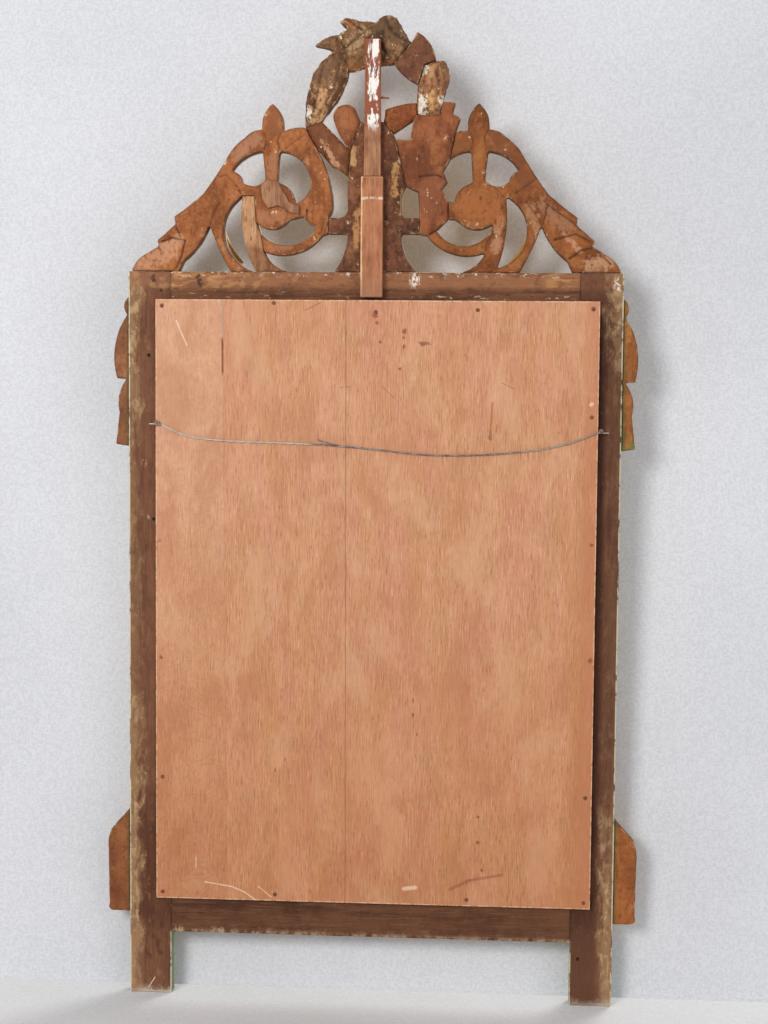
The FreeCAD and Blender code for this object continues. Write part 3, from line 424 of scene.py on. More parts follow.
def crest_wood(name, tones, shift, gesso=0.0, red=0.0, fresh=(), flaked=(), rough_cut=0.0, green=0.0):
    """Carved limewood: stained, rubbed and grimy behind, with painted shade along its outline, in its hollows
    and on its sawn sides; gilding over gesso in front.
    """
    dark, middle, light = tones
    material, spot = started(name)
    broad = spot.field((46, 46, 60), 4.0, 0.55, shift, 0.8)
    grain = spot.field((3.2, 9, 60), 4.0, 0.62, shift + 7, 0.3)
    raw = spot.field((30, 30, 36), 5.0, 0.62, shift + 21)
    flakes = spot.field((10, 10, 12), 5.0, 0.7, shift + 29)
    dirt = spot.field((5, 5, 6), 6.0, 0.75, shift + 37)
    ragged = flakes - 0.5
    gritty = dirt - 0.5
    ridge = spot.worn("ridge")
    hollow = spot.worn("hollow")
    rim = spot.worn("rim")
    wall = spot.worn("wall")
    coat = Coat(over(dark, middle, ease(broad * 0.55 + raw * 0.45, 0.4, 0.56)))
    coat.lay(light, ease(raw, 0.53, 0.66) * 0.6)
    coat.lay(dark, ease(flakes, 0.46, 0.36) * (0.36 + rough_cut * 0.2))
    coat.lay((196, 146, 98), ease(flakes, 0.6, 0.7) * (0.4 + rough_cut * 0.4))
    ruddy = ease(spot.field(30, 3.0, 0.6, shift + 25), 0.5, 0.64)
    coat.lay((112, 46, 32), ruddy * red)
    coat.glaze((166, 140, 122), ease(dirt, 0.5, 0.64) * (0.45 + rough_cut * 0.55))
    coat.lay(light, ease(dirt, 0.46, 0.34) * (0.35 + rough_cut * 0.35))
    coat.glaze((222, 206, 196), ease(grain, 0.46, 0.3) * 0.6)
    pits = spot.field((7, 7, 9), 4.0, 0.7, shift + 33)
    coat.lay((64, 38, 26), ease(pits, 0.61, 0.7) * 0.6)
    for start, end, width, pale in fresh:
        mark = spot.stroke(start, end, width, ragged * width * 2.0 + gritty * 6)
        coat.lay(pale, mark * ease(dirt, 0.68, 0.48) * 0.8)
    worn_rim = ease(rim, 0.62, 0.86) * (1 - wall)
    # Painted shade and grime: darker along the sawn outline of each board
    coat.lay((76, 46, 30), ease(rim, 0.3, 0.9) * ease(raw, 0.46, 0.6) * 0.45)
    coat.lay((214, 178, 132), worn_rim * ease(flakes + gritty * 0.6, 0.53, 0.61) * 0.6)
    coat.lay((210, 174, 128), ease(ridge + gritty * 1.6, 0.7, 1.0) * rough_cut * 0.5)
    # Painted shade and grime: dark in the hollows of the carving
    coat.lay((54, 32, 22), ease(hollow, 0.1, 0.8) * (0.8 - rough_cut * 0.25))
    # Painted shade on the sawn sides: dark, with paler patches
    side = over((84, 52, 35), (150, 104, 70), ease(flakes, 0.52, 0.66))
    coat.lay(side, wall * (0.85 - rough_cut * 0.45))
    coat.lay(GESSO, ease(flakes + gesso * 0.06, 0.68, 0.70) * min(1.0, gesso + 0.4))
    for x, z, wide, high in flaked:
        patch = spot.blot(x, z, wide, high, ragged * 4.5, 0.2)
        coat.lay(GESSO, patch * ease(dirt, 0.6, 0.5) * 0.9)
    if green:
        inner = ease(abs(spot.x) + ragged * 12, 312, 306.5) * (0.6 + ease(spot.z, 765, 740) * 0.4)
        coat.lay((70, 80, 40), inner * green * 0.8)
        run_over = ease(raw + inner * 0.06, 0.6, 0.64) * ease(spot.z, 750, 735)
        coat.lay((92, 104, 52), run_over * max(0.0, green - 0.6) * 1.6)
    gouge = spot.cells((9, 9, 15), shift)
    relief = grain * 0.5 + gouge * (0.5 + rough_cut * 1.2) + flakes * 0.5 + dirt * rough_cut
    front = spot.y + ragged * 12
    in_gesso = ease(front, GILT_FROM + 5.0, GILT_FROM + 3.0)
    coat.lay(over(GESSO, (176, 172, 140), ease(raw, 0.42, 0.6)), in_gesso)
    leaf, leaf_rough, leaf_metal = gilded(spot, shift)
    in_front = ease(front, GILT_FROM + 0.8, GILT_FROM)
    coat.lay(leaf.colour, in_front)
    rough = 0.74 + in_front * (leaf_rough - 0.74)
    finished(spot, coat, rough, relief * (1 - in_front * 0.8), 0.7, leaf_metal * in_front)
    return material


def gilt_wood(name, shift):
    """Worn gilding all over, raw wood behind."""
    material, spot = started(name)
    coat, rough, metal = gilded(spot, shift)
    finished(spot, coat, rough, spot.field(6, 3.0, 0.6, shift), 0.15, metal)
    return material


def batten_wood(name, dark, middle, light, shift, paint=0.0):
    """Planed strut wood with remains of white paint along its middle."""
    material, spot = started(name)
    coat, relief = grained(spot, dark, middle, light, ALONG_Z, shift, 0.5)
    flakes = spot.field((8, 8, 13), 5.0, 0.7, shift + 3)
    ragged = flakes - 0.5
    grime = ease(spot.field((24, 24, 60), 4.0, 0.6, shift + 5), 0.46, 0.66)
    coat.glaze((186, 156, 138), grime * 0.6)
    coat.lay((206, 150, 110), ease(spot.worn("ridge"), 0.2, 0.9) * 0.5)
    if paint:
        painted_part = ease(spot.z + ragged * 30, 1080, 1094)
        coat.lay((136, 66, 46), painted_part * 0.75)
        coat.lay((206, 176, 150), ease(flakes, 0.6, 0.66) * painted_part * 0.6)
        strip = ease(abs(spot.x - 2.0 + ragged * 9), 8.0, 4.0)
        streaks = spot.field((5, 6, 20), 5.0, 0.7, shift + 9)
        bare = ease(abs(spot.z - 1110 + ragged * 14), 9.0, 5.0)
        white = ease(streaks + strip * 0.09 - bare * 0.14, 0.53, 0.57) * painted_part * ease(strip, 0.0, 0.35)
        coat.lay((230, 224, 216), white * paint)
        relief = relief + white * 1.2
    else:
        pale_edge = ease(spot.x + ragged * 6, 13.4, 15.0)
        coat.lay((226, 184, 140), pale_edge * 0.8)
        band = ease(abs(spot.z - 1002 + ragged * 8), 2.2, 0.8)
        coat.lay((226, 200, 174), band * ease(flakes, 0.5, 0.56) * 0.8)
        coat.lay((150, 104, 78), ease(spot.z, 915, 890) * 0.6)
    finished(spot, coat, 0.74, relief * 0.6, 0.4)
    return material


def repair_wood(name, dark, middle, light):
    """Newer wood of the repairs, darker where the strip meets the rail."""
    material, spot = started(name)
    coat, relief = grained(spot, dark, middle, light, ALONG_Z, 31)
    rubbed = ease(spot.field((20, 20, 30), 4.0, 0.6, 33), 0.46, 0.64)
    coat.glaze((176, 140, 116), rubbed * 0.6)
    coat.glaze((206, 192, 186), ease(spot.z, 955, 930))
    jag = (spot.field(10, 4.0, 0.65, 35) - 0.5) * 6
    leaf, leaf_rough, leaf_metal = gilded(spot, 37)
    in_front = ease(spot.y + jag, -3.4, -4.0)
    coat.lay(leaf.colour, in_front)
    finished(spot, coat, 0.72 + in_front * (leaf_rough - 0.72), relief, 0.4, leaf_metal * in_front)
    return material


def plywood(name):
    """Rotary-cut veneer in three strips, with stains, scratches, nail rust and darker layers inside, and
    painted shade towards the bottom.
    """
    material, spot = started(name)
    x, z = spot.x, spot.z
    # The seams between the strips lean a little
    lean_left = x - (z - 130.6) * 0.00964 - 179.9
    lean_right = x - (z - 134.8) * 0.00484 - 30.3
    strip_left = ease(lean_left, -0.4, 0.4)
    strip_right = ease(lean_right, 0.4, -0.4)
    drift = spot.field((70, 70, 420), 4.0, 0.55, 1, 0.5)
    figure = (drift * 40 + strip_left * 9 - strip_right * 17 + x * 0.06).sine()
    streak = spot.field((20, 40, 150), 4.0, 0.6, 5)
    fibre = spot.field((1.4, 9, 24), 4.0, 0.7, 9)
    pores = ease(spot.field((0.7, 3, 10), 2.0, 0.5, 13), 0.58, 0.74)
    warm = ease(spot.field((38, 60, 210), 4.0, 0.6, 21, 0.6), 0.38, 0.62)
    coat = Coat(over((190, 132, 102), (188, 136, 95), warm))
    olive = ease(spot.field((34, 40, 30), 4.0, 0.6, 27, 0.9), 0.52, 0.68)
    coat.lay((184, 142, 106), olive * 0.55)
    coat.lay((206, 152, 118), ease(streak, 0.42, 0.68) * 0.55)
    coat.lay((190, 133, 98), ease(figure, 0.1, 1.0) * 0.2)
    coat.lay((156, 98, 68), ease(fibre, 0.5, 0.3) * 0.72)
    coat.lay((228, 184, 150), ease(fibre, 0.53, 0.72) * 0.6)
    coat.lay((128, 78, 54), pores * 0.7)
    broad = spot.field((150, 150, 240), 3.0, 0.5, 17)
    coat.lay((190, 130, 96), ease(broad, 0.5, 0.72) * 0.4)
    mottle = spot.field((26, 26, 20), 4.0, 0.6, 25, 0.8)
    faded = strip_left * (0.45 + ease(z, 560, 720) * 0.55)
    coat.lay((216, 172, 143), faded * (0.24 + ease(mottle, 0.42, 0.68) * 0.18))
    cast = spot.field((46, 60, 90), 5.0, 0.62, 45, 0.6)
    coat.lay((172, 116, 82), ease(cast, 0.5, 0.66) * 0.42)
    coat.lay((206, 160, 126), ease(cast, 0.5, 0.34) * 0.42)
    swirl = (spot.field((52, 60, 44), 3.0, 0.5, 41, 1.2) * 60).sine()
    low = ease(z, 640, 160)
    coat.lay((176, 118, 86), ease(swirl, 0.2, 0.9) * (0.06 + strip_left * (0.14 + low * 0.12)))
    # Painted shade: the panel darker towards the bottom, more so on the left strip
    coat.glaze((247, 238, 227), low)
    coat.glaze((246, 238, 231), low * strip_left)
    coat.lay((176, 110, 76), ease(x, -256, -262) * 0.4)
    coat.lay((168, 108, 68), ease(x, -242, -256) * ease(z, 660, 500) * 0.3)
    seam_left = ease(abs(lean_left), 0.7, 0.2)
    seam_right = ease(abs(lean_right), 0.9, 0.3)
    coat.lay((156, 108, 80), seam_left * (0.25 + ease(z, 400, 200) * 0.25))
    coat.lay((160, 146, 122), ease(abs(lean_left + 0.4), 1.3, 0.6) * ease(z, 828, 834) * 0.8)
    coat.lay((128, 82, 58), seam_right * 0.55)
    ragged = spot.field((5, 5, 7), 4.0, 0.65, 19) - 0.5
    slit = ease(abs(lean_left) + ragged * 1.5, 1.5, 0.7) * ease(z, 783, 790) * ease(z, 834, 828)
    coat.lay((126, 66, 42), slit * 0.9)
    spots = (
        (-2, 860, 9, 11), (-4, 851, 5, 5), (-8, 828, 5, 6), (-38, 841, 6, 8), (-38, 833, 4, 6),
        (-38, 823, 5, 9), (-32, 795, 5, 5), (-62, 826, 16, 6), (-136, 206, 5, 5), (-135.5, 239, 4, 4),
        (-141, 171.5, 4, 4),
        (-53, 385, 3, 8), (-53, 366, 3, 7), (-58, 341, 3, 8), (119, 292, 3, 8), (107, 305, 3, 7),
        (265.5, 579, 7, 7), (263, 432, 6.5, 6.5), (-271, 581, 6.5, 6.5), (-271, 438, 6.5, 6.5),
    )
    for mark_x, mark_z, wide, high in spots:
        coat.lay((122, 60, 42), spot.blot(mark_x, mark_z, wide, high, ragged * 3.2, 0.5) * 0.72)
    scratches = (
        ((41, 771), (28, 773), 1.6), ((-11, 774), (-25, 760), 1.4), ((-158, 779), (-172, 772), 1.6),
        ((-102, 146), (-126, 158), 6.0), ((-126, 158), (-166, 166), 5.0), ((84, 866), (66, 875), 2.2),
    )
    for start, end, width in scratches:
        coat.lay((126, 76, 54), spot.stroke(start, end, width, ragged * 1.2) * 0.5)
    drip = spot.stroke((-147, 754), (-145, 716), 4.2, ragged * 1.6)
    drip = drip.most(spot.blot(-144.5, 712, 7, 9, ragged * 1.5, 0.5))
    drip = drip.most(spot.stroke((-153, 727), (-152, 719), 3.4, ragged * 1.6))
    coat.lay(over((156, 92, 52), (122, 68, 40), ease(z, 724, 712)), drip * 0.62)
    coat.lay((150, 92, 64), spot.blot(-150, 273, 46, 30, ragged * 1.5, 0.9) * 0.28)
    scuffs = (
        ((244, 852), (231, 822), 2.4), ((208, 147), (174, 142), 2.2), ((174, 142), (157, 135), 2.2),
        ((157, 135), (143, 125), 2.4), ((140, 143), (124, 130), 2.0), ((219.5, 178), (219.5, 164), 1.6),
        ((-44, 145), (-58, 147), 7.0), ((-267, 753), (-268, 754), 6.0),
    )
    for start, end, width in scuffs:
        coat.lay((232, 206, 180), spot.stroke(start, end, width, ragged * 2.2) * 0.55)
    for nail_x, nail_z in NAILS:
        coat.lay((112, 62, 40), spot.blot(nail_x, nail_z, 6.2, 6.2, ragged * 0.7, 0.3) * 0.85)
    rim = ease(abs(x - PANEL_MIDDLE), 271.2, 272.6).most(ease(abs(z - PANEL_CENTRE), 374.8, 376.2))
    coat.lay((230, 194, 162), rim * ease(ragged, -0.1, 0.08) * 0.6)
    core = ease(spot.y, 15.2, 15.0) * ease(spot.y, 12.4, 12.6)
    coat.glaze((172, 142, 122), core)
    rough = 0.62 + pores * 0.15
    relief = fibre * 0.5 + streak * 0.4 - pores * 0.25 - slit * 2 - seam_right * 0.4
    finished(spot, coat, rough, relief, 0.2)
    return material


def nail_steel(name, bright):
    """Dull nail steel with rust."""
    material, spot = started(name)
    rust = ease(spot.field(2.2, 4.0, 0.65, 3), 0.42, 0.62)
    coat = Coat(over(bright, (96, 62, 44), rust))
    finished(spot, coat, 0.42 + rust * 0.4, spot.field(0.8, 2.0, 0.6, 5), 0.1, 0.85 - rust * 0.7)
    return material


def wire_zinc(name):
    """Galvanised wire, lighter towards both ends, spangled and partly dulled."""
    material, spot = started(name)
    dull = ease(spot.field((9, 3, 3), 4.0, 0.6, 3), 0.4, 0.64)
    coat = Coat(over((150, 146, 142), (104, 96, 90), dull))
    coat.lay((204, 198, 184), ease(spot.x, 68, 84) * 0.7)
    coat.lay((178, 168, 150), ease(spot.x, -168, -190) * 0.6)
    finished(spot, coat, 0.42 + dull * 0.25, spot.field(1, 2.0, 0.6, 5), 0.05, 0.6, 0.5)
    return material


def old_plate(name):
    """Silvered glass gone cloudy at its edges, with dark pinholes; grey paint behind."""
    material, spot = started(name)
    cloud = spot.field(130, 5.0, 0.6, 3)
    pinholes = ease(spot.field(7, 3.0, 0.6, 7), 0.70, 0.75) * ease(cloud, 0.45, 0.62)
    edge = ease(abs(spot.x), 205, 250).most(ease(abs(spot.z - PLATE_CENTRE), 310, 358))
    fox = ease(cloud + edge * 0.2, 0.62, 0.8)
    coat = Coat(over((232, 234, 232), (172, 168, 156), fox * 0.8))
    coat.lay((58, 50, 44), pinholes.most(ease(cloud + edge * 0.16, 0.78, 0.86)))
    back = ease(spot.y, -7.5, -7.0)
    coat.lay((98, 88, 82), back)
    rough = 0.035 + fox * 0.14 + pinholes * 0.3 + back * 0.6
    finished(spot, coat, rough, cloud, 0.02, 0.97 - back * 0.95)
    return material


# Pieces


def placed(name, data):
    """A new object in the scene."""
    made = bpy.data.objects.new(name, data)
    bpy.context.scene.collection.objects.link(made)
    return made


def coated(mesh, material):
    """The mesh with one finish all over."""
    mesh.materials.clear()
    mesh.materials.append(material)
    return mesh


def plain_mesh(piece):
    """The piece's mesh with its modifiers worked in."""
    graph = bpy.context.evaluated_depsgraph_get()
    mesh = bpy.data.meshes.new_from_object(piece.evaluated_get(graph))
    piece.modifiers.clear()
    return mesh


def merged_copy(node):
    """A copy of a solid's mesh with its loose triangles joined."""
    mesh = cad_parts[node].data.copy()
    work = bmesh.new()
    work.from_mesh(mesh)
    bmesh.ops.remove_doubles(work, verts=work.verts, dist=0.002 * MM)
    work.to_mesh(mesh)
    work.free()
    return mesh


def numbers(items, name, width, kind=np.float32):
    """A list of Blender's values as an array, width to a row."""
    flat = np.empty(len(items) * width, kind)
    items.foreach_get(name, flat)
    return flat.reshape(-1, width)


def outline_distance(points, normals):
    """How far each point lies, in x and z, from the sawn outline of its board."""
    back = points[:, 1].max()
    upright = np.abs(normals[:, 1]) < 0.5
    near = (points[:, 1] < back - 1.5 * MM) & (points[:, 1] > back - 6 * MM)
    wall = np.flatnonzero(upright & near)[::2]
    tree = kdtree.KDTree(len(wall))
    for index in wall:
        tree.insert((points[index, 0], 0.0, points[index, 2]), int(index))
    tree.balance()
    return np.array([tree.find((x, 0.0, z))[2] for x, z in zip(points[:, 0], points[:, 2])])


def rounded_edges(points, distance, middle, back, front):
    """Thins a board towards its outline: back and front are (width, share of the thickness taken off)."""
    offset = points[:, 1] - middle
    for side, (width, share) in ((offset > 0, back), (offset <= 0, front)):
        inward = np.clip(distance / (width * MM), 0.0, 1.0)
        kept = 1.0 - share * (1.0 - np.sin(inward * math.pi / 2))
        offset = np.where(side, offset * kept, offset)
    moved = points.copy()
    moved[:, 1] = middle + offset
    return moved


def gouged(points, normals, cuts):
    """Cuts grooves into the back of a board: each cut is (points in x and z, width, depth) in millimetres."""
    place = points[:, [0, 2]] / MM
    deepest = np.zeros(len(points))
    for line, width, depth in cuts:
        for start, end in zip(line, line[1:]):
            start = np.array(start, float)
            run = np.array(end, float) - start
            share = np.clip((place - start) @ run / (run @ run), 0.0, 1.0)
            away = np.linalg.norm(place - start - share[:, None] * run, axis=1)
            deepest = np.maximum(deepest, depth * np.clip(1.0 - away / width, 0.0, 1.0))
    moved = points.copy()
    moved[:, 1] -= np.where(normals[:, 1] > 0.3, deepest, 0.0) * MM
    return moved


def keep(mesh, name, values):
    """Keeps one number for each point of a mesh, from 0 to 1, for the finishes to read."""
    layer = mesh.attributes.new(name, "FLOAT", "POINT")
    layer.data.foreach_set("value", np.clip(values, 0.0, 1.0).astype(np.float32))


def mark_wear_and_shade(mesh, voxel):
    """Gives each point how far it stands out as a ridge, how far it lies in a hollow and how far it faces
    sideways; the finishes lay wear, grime and painted shade from these.
    """
    points = numbers(mesh.vertices, "co", 3)
    normals = numbers(mesh.vertices, "normal", 3)
    ends = numbers(mesh.edges, "vertices", 2, np.int32)
    count = len(points)
    starts, stops = ends[:, 0], ends[:, 1]
    each = np.maximum(np.bincount(ends.ravel(), minlength=count), 1)

    def neighbours(values):
        total = np.bincount(starts, values[stops], count) + np.bincount(stops, values[starts], count)
        return total / each

    mean = np.stack([neighbours(points[:, axis]) for axis in range(3)], axis=1)
    bulge = np.einsum("ij,ij->i", normals, points - mean) / (voxel * MM)
    for _ in range(4):
        bulge = (bulge + neighbours(bulge)) / 2
    keep(mesh, "ridge", bulge * 6.0)
    keep(mesh, "hollow", bulge * -6.0)
    keep(mesh, "wall", 1.3 - 1.6 * np.abs(normals[:, 1]))


def cloud(name, size):
    """Soft noise that bends a surface, its lumps size millimetres wide."""
    texture = bpy.data.textures.new(name, "CLOUDS")
    texture.noise_scale = size * MM
    texture.noise_depth = 2
    return texture


HAND_TOOL = cloud("hand tool", 16)
OLD_WARP = cloud("old warp", 60)
ROUGH_CUT = cloud("rough cut", 9)


def hewn(node, material, voxel, smoothing, waver, edges=None, texture=HAND_TOOL, cuts=()):
    """A hand-worked piece over a solid: soft edges, tool waver and, for boards, rounded outlines."""
    piece = placed(f"{node}_wood", merged_copy(node))
    remesh = piece.modifiers.new("fine mesh", "REMESH")
    remesh.mode = "VOXEL"
    remesh.voxel_size = voxel * MM
    smooth = piece.modifiers.new("worn edges", "SMOOTH")
    smooth.factor = 0.5
    smooth.iterations = smoothing
    sway = piece.modifiers.new("tool waver", "DISPLACE")
    sway.texture = texture
    sway.texture_coords = "LOCAL"
    sway.strength = waver * MM
    sway.mid_level = 0.55
    mesh = coated(plain_mesh(piece), material)
    piece.data = mesh
    points = numbers(mesh.vertices, "co", 3).astype(float)
    if edges is not None:
        normals = numbers(mesh.vertices, "normal", 3)
        distance = outline_distance(points, normals)
        points = rounded_edges(gouged(points, normals, cuts), distance, *edges)
        keep(mesh, "rim", 1.0 - distance / (6 * MM))
    low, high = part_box(node)
    points = np.clip(points, np.array(low), np.array(high))
    mesh.vertices.foreach_set("co", points.astype(np.float32).ravel())
    mesh.update()
    mark_wear_and_shade(mesh, voxel)
    mesh.shade_smooth()
    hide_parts(node)
    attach(piece, "mirror")


def dressed(node, material):
    """A solid that keeps its shape and takes a finish."""
    coated(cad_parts[node].data, material)


STILE = frame_wood("stile wood", ALONG_Z, 1)
RAIL = frame_wood("rail wood", ALONG_X, 41)
for side in ("left", "right"):
    hewn(f"stile_{side}", STILE, 2.0, 1, 0.5, texture=OLD_WARP)
for level in ("top", "bottom"):
    hewn(f"rail_{level}", RAIL, 2.0, 1, 0.5, texture=OLD_WARP)

BOARD_MIDDLE = -0.5 * MM
BOARD_EDGES = (BOARD_MIDDLE, (2.4, 0.1), (5.0, 0.2))
LUMP_EDGES = (BOARD_MIDDLE, (10.0, 0.5), (12.0, 0.45))
LEAF_EDGES = (BOARD_MIDDLE, (6.0, 0.35), (12.0, 0.45))
QUIVER_EDGES = (BOARD_MIDDLE, (3.0, 0.14), (10.0, 0.4))
EAR_EDGES = (-2.5 * MM, (2.4, 0.1), (5.0, 0.25))

PALE = (186, 134, 100)
CREST = {
    "crest_scroll_right": dict(
        tones=((124, 70, 37), (159, 96, 53), (180, 124, 83)),
        gesso=0.3,
        fresh=(
            ((288, 921), (250, 941), 30, PALE), ((252, 941), (244, 950), 18, PALE),
            ((125, 1105), (125, 1085), 20, (132, 81, 50)), ((126, 1052), (126, 1030), 14, (152, 106, 77)),
            ((120, 980), (136, 977), 26, (160, 108, 76)), ((127, 941), (104, 943), 13, (160, 106, 73)),
            ((168, 1054), (147, 1073), 17, (162, 114, 86)),
        ),
        edges=BOARD_EDGES,
        voxel=1.3,
        cuts=(
            (((137, 1083), (133, 1072), (136, 1062)), 2.4, 1.6),
            (((115, 1083), (120, 1072), (117, 1062)), 2.4, 1.6),
            (((248, 973), (242, 960), (237, 950)), 3.0, 2.4),
            (((270, 947), (250, 954), (234, 951), (239, 930), (246, 915)), 3.2, 2.6),
            (((191, 997), (198, 986), (203, 969)), 2.4, 1.6),
            (((198, 1026), (183, 1031), (174, 1022), (164, 1008)), 2.4, 1.6),
            (((158, 1004), (149, 1016), (140, 1021)), 2.2, 1.4),
            (((83, 988), (84, 972), (72, 970)), 3.0, 2.6),
            (((111, 1062), (96, 1073), (80, 1083)), 2.4, 1.4),
            (((198, 1026), (214, 1005), (240, 982)), 2.4, 1.2), (((62, 977), (66, 958)), 2.4, 1.6),
        ),
    ),
    "crest_scroll_left": dict(
        tones=((106, 58, 27), (139, 81, 40), (160, 103, 58)),
        gesso=0.3,
        fresh=(
            ((-262, 920), (-285, 926), 22, (182, 136, 102)), ((-232, 960), (-250, 940), 9, PALE),
            ((-148, 1076), (-186, 1022), 26, (112, 66, 40)), ((-94, 1064), (-112, 1076), 22, (124, 75, 42)),
            ((-153, 974), (-148, 944), 15, (172, 123, 90)), ((-189, 992), (-198, 962), 15, (162, 117, 83)),
            ((-116, 994), (-144, 984), 38, (156, 93, 50)), ((-205, 996), (-238, 962), 20, (150, 104, 76)),
        ),
        edges=BOARD_EDGES,
        voxel=1.3,
        cuts=(
            (((-114, 1086), (-119, 1075), (-118, 1061)), 2.4, 1.6),
            (((-137, 1086), (-133, 1075), (-136, 1061)), 2.4, 1.6),
            (((-98, 995), (-110, 1019), (-128, 1022), (-146, 1017), (-158, 1003), (-163, 985)), 2.2, 1.3),
            (((-172, 1009), (-198, 1027)), 2.4, 1.4), (((-205, 971), (-211, 995), (-247, 970)), 2.8, 2.0),
            (((-220, 953), (-245, 960), (-270, 948)), 3.0, 2.4),
            (((-238, 930), (-252, 940), (-268, 944), (-288, 924)), 3.2, 2.6),
            (((-185, 999), (-203, 973)), 2.4, 1.6), (((-143, 967), (-137, 947), (-137, 939)), 2.4, 1.6),
        ),
    ),
    "crest_post": dict(
        tones=((78, 46, 31), (112, 68, 45), (146, 98, 66)),
        gesso=0.3,
        fresh=(
            ((23, 945), (21, 988), 9, (184, 136, 86)), ((-24, 1006), (-26, 1044), 10, (178, 132, 80)),
            ((-34, 985), (-34, 1010), 9, (186, 140, 82)), ((28, 1062), (26, 1044), 10, (190, 146, 98)),
        ),
        rough_cut=0.5,
        edges=BOARD_EDGES,
        voxel=1.3,
    ),
    "trophy_bow": dict(
        tones=((88, 50, 29), (120, 72, 44), (144, 93, 59)),
        gesso=0.3,
        fresh=(((65, 1072), (46, 1039), 8, (190, 140, 102)),),
        edges=LEAF_EDGES,
        voxel=1.0,
    ),
    "trophy_torch": dict(tones=((114, 63, 37), (150, 92, 56), (170, 114, 76)), edges=LEAF_EDGES, voxel=1.0),
    "trophy_arrow": dict(tones=((124, 66, 34), (164, 94, 50), (184, 120, 72)), edges=LEAF_EDGES, voxel=1.0),
    "trophy_quiver": dict(
        tones=((106, 58, 33), (140, 81, 48), (156, 99, 62)),
        gesso=0.3,
        fresh=(((-68, 1018), (-66, 988), 34, (126, 74, 49)),),
        edges=QUIVER_EDGES,
        voxel=1.2,
        cuts=(
            (((-55, 1029), (-74, 1031), (-88, 1026)), 2.8, 2.2),
            (((-66, 1085), (-67, 1060), (-65, 1040)), 1.8, 0.8),
            (((-78, 1096), (-80, 1070), (-78, 1042)), 1.8, 0.8),
        ),
    ),
    "wreath_branch": dict(
        tones=((92, 62, 42), (134, 98, 67), (166, 122, 82)),
        fresh=(
            ((70, 1148), (48, 1166), 16, (108, 78, 56)), ((66, 1126), (70, 1100), 26, (200, 152, 108)),
            ((41, 1144), (55, 1110), 10, (78, 47, 31)),
        ),
        flaked=((81.5, 1103, 5, 22),),
        gesso=0.4,
        red=0.25,
        rough_cut=0.9,
        edges=LUMP_EDGES,
        voxel=1.1,
        waver=3.0,
        texture=ROUGH_CUT,
        cuts=(
            (((65, 1169), (69, 1141), (76, 1108)), 3.6, 3.0),
            (((44, 1164), (51, 1136), (69, 1103)), 3.6, 3.0),
        ),
    ),
    "wreath_top": dict(
        tones=((84, 58, 38), (130, 95, 64), (164, 122, 82)),
        fresh=(
            ((36, 1160), (-25, 1162), 16, (150, 92, 54)), ((-9, 1212), (-39, 1188), 24, (100, 76, 54)),
            ((70, 1186), (44, 1191), 12, (170, 104, 62)), ((38, 1214), (28, 1210), 10, (160, 96, 58)),
            ((30, 1186), (16, 1200), 20, (172, 138, 102)),
        ),
        gesso=0.6,
        rough_cut=0.7,
        edges=LUMP_EDGES,
        voxel=1.1,
        waver=6.0,
        texture=ROUGH_CUT,
        cuts=(
            (((33, 1217), (14, 1203), (33, 1187), (51, 1180)), 4.0, 4.0),
            (((-9, 1222), (-20, 1203), (-39, 1191)), 4.0, 4.0),
            (((-9, 1203), (-4, 1187), (-18, 1173)), 4.0, 4.0),
        ),
    ),
    "wreath_leaf": dict(tones=((88, 52, 36), (112, 70, 48), (130, 84, 57)), edges=QUIVER_EDGES, voxel=1.1),
    "wreath_spray": dict(
        tones=((112, 74, 50), (160, 112, 77), (188, 142, 100)),
        gesso=0.7,
        fresh=(((-69, 1128), (-70, 1104), 14, (206, 156, 104)),),
        flaked=((-57, 1158, 16, 14), (-58, 1116, 12, 30), (-81, 1119, 6, 14)),
        rough_cut=1.0,
        edges=LUMP_EDGES,
        voxel=1.1,
        waver=5.0,
        texture=ROUGH_CUT,
        cuts=(
            (((-60, 1163), (-58, 1131), (-60, 1104)), 3.6, 3.4),
            (((-74, 1163), (-77, 1136), (-73, 1108)), 3.6, 3.0),
        ),
    ),
}
EARS = (
    ("upper_left", ((134, 80, 39), (160, 100, 50), (179, 123, 68)), 1.1, 1.0),
    ("upper_right", ((114, 69, 44), (136, 86, 56), (157, 109, 75)), 1.1, 0.5),
    ("lower_left", ((130, 74, 38), (154, 91, 47), (170, 109, 61)), 1.2, 0.6),
    ("lower_right", ((112, 63, 36), (132, 78, 45), (147, 93, 56)), 1.2, 0.5),
)
for place, tones, voxel, green in EARS:
    CREST[f"ear_{place}"] = dict(tones=tones, edges=EAR_EDGES, voxel=voxel, green=green)
SHAPE_KEYS = ("tones", "edges", "voxel", "waver", "texture", "cuts")
for order, (node, look) in enumerate(CREST.items()):
    finish = {key: value for key, value in look.items() if key not in SHAPE_KEYS}
    wood = crest_wood(f"{node} wood", look["tones"], order * 5.3, **finish)
    texture = look.get("texture", HAND_TOOL)
    cuts = look.get("cuts", ())
    hewn(node, wood, look["voxel"], 2, look.get("waver", 0.9), look["edges"], texture, cuts)

LOWER = batten_wood("lower batten wood", (140, 88, 62), (172, 114, 80), (192, 138, 103), 3)
UPPER = batten_wood("upper batten wood", (118, 74, 52), (156, 108, 78), (186, 142, 106), 11, 1.0)
hewn("batten_lower", LOWER, 1.3, 2, 0.4)
hewn("batten_upper", UPPER, 1.3, 3, 0.6)
REPAIR = repair_wood("repair wood", (150, 104, 70), (182, 136, 98), (206, 162, 122))
OLD_REPAIR = repair_wood("old repair wood", (128, 86, 60), (158, 114, 84), (182, 138, 104))
hewn("repair_strip", REPAIR, 1.3, 2, 0.4)
hewn("repair_block", OLD_REPAIR, 1.3, 2, 0.4)

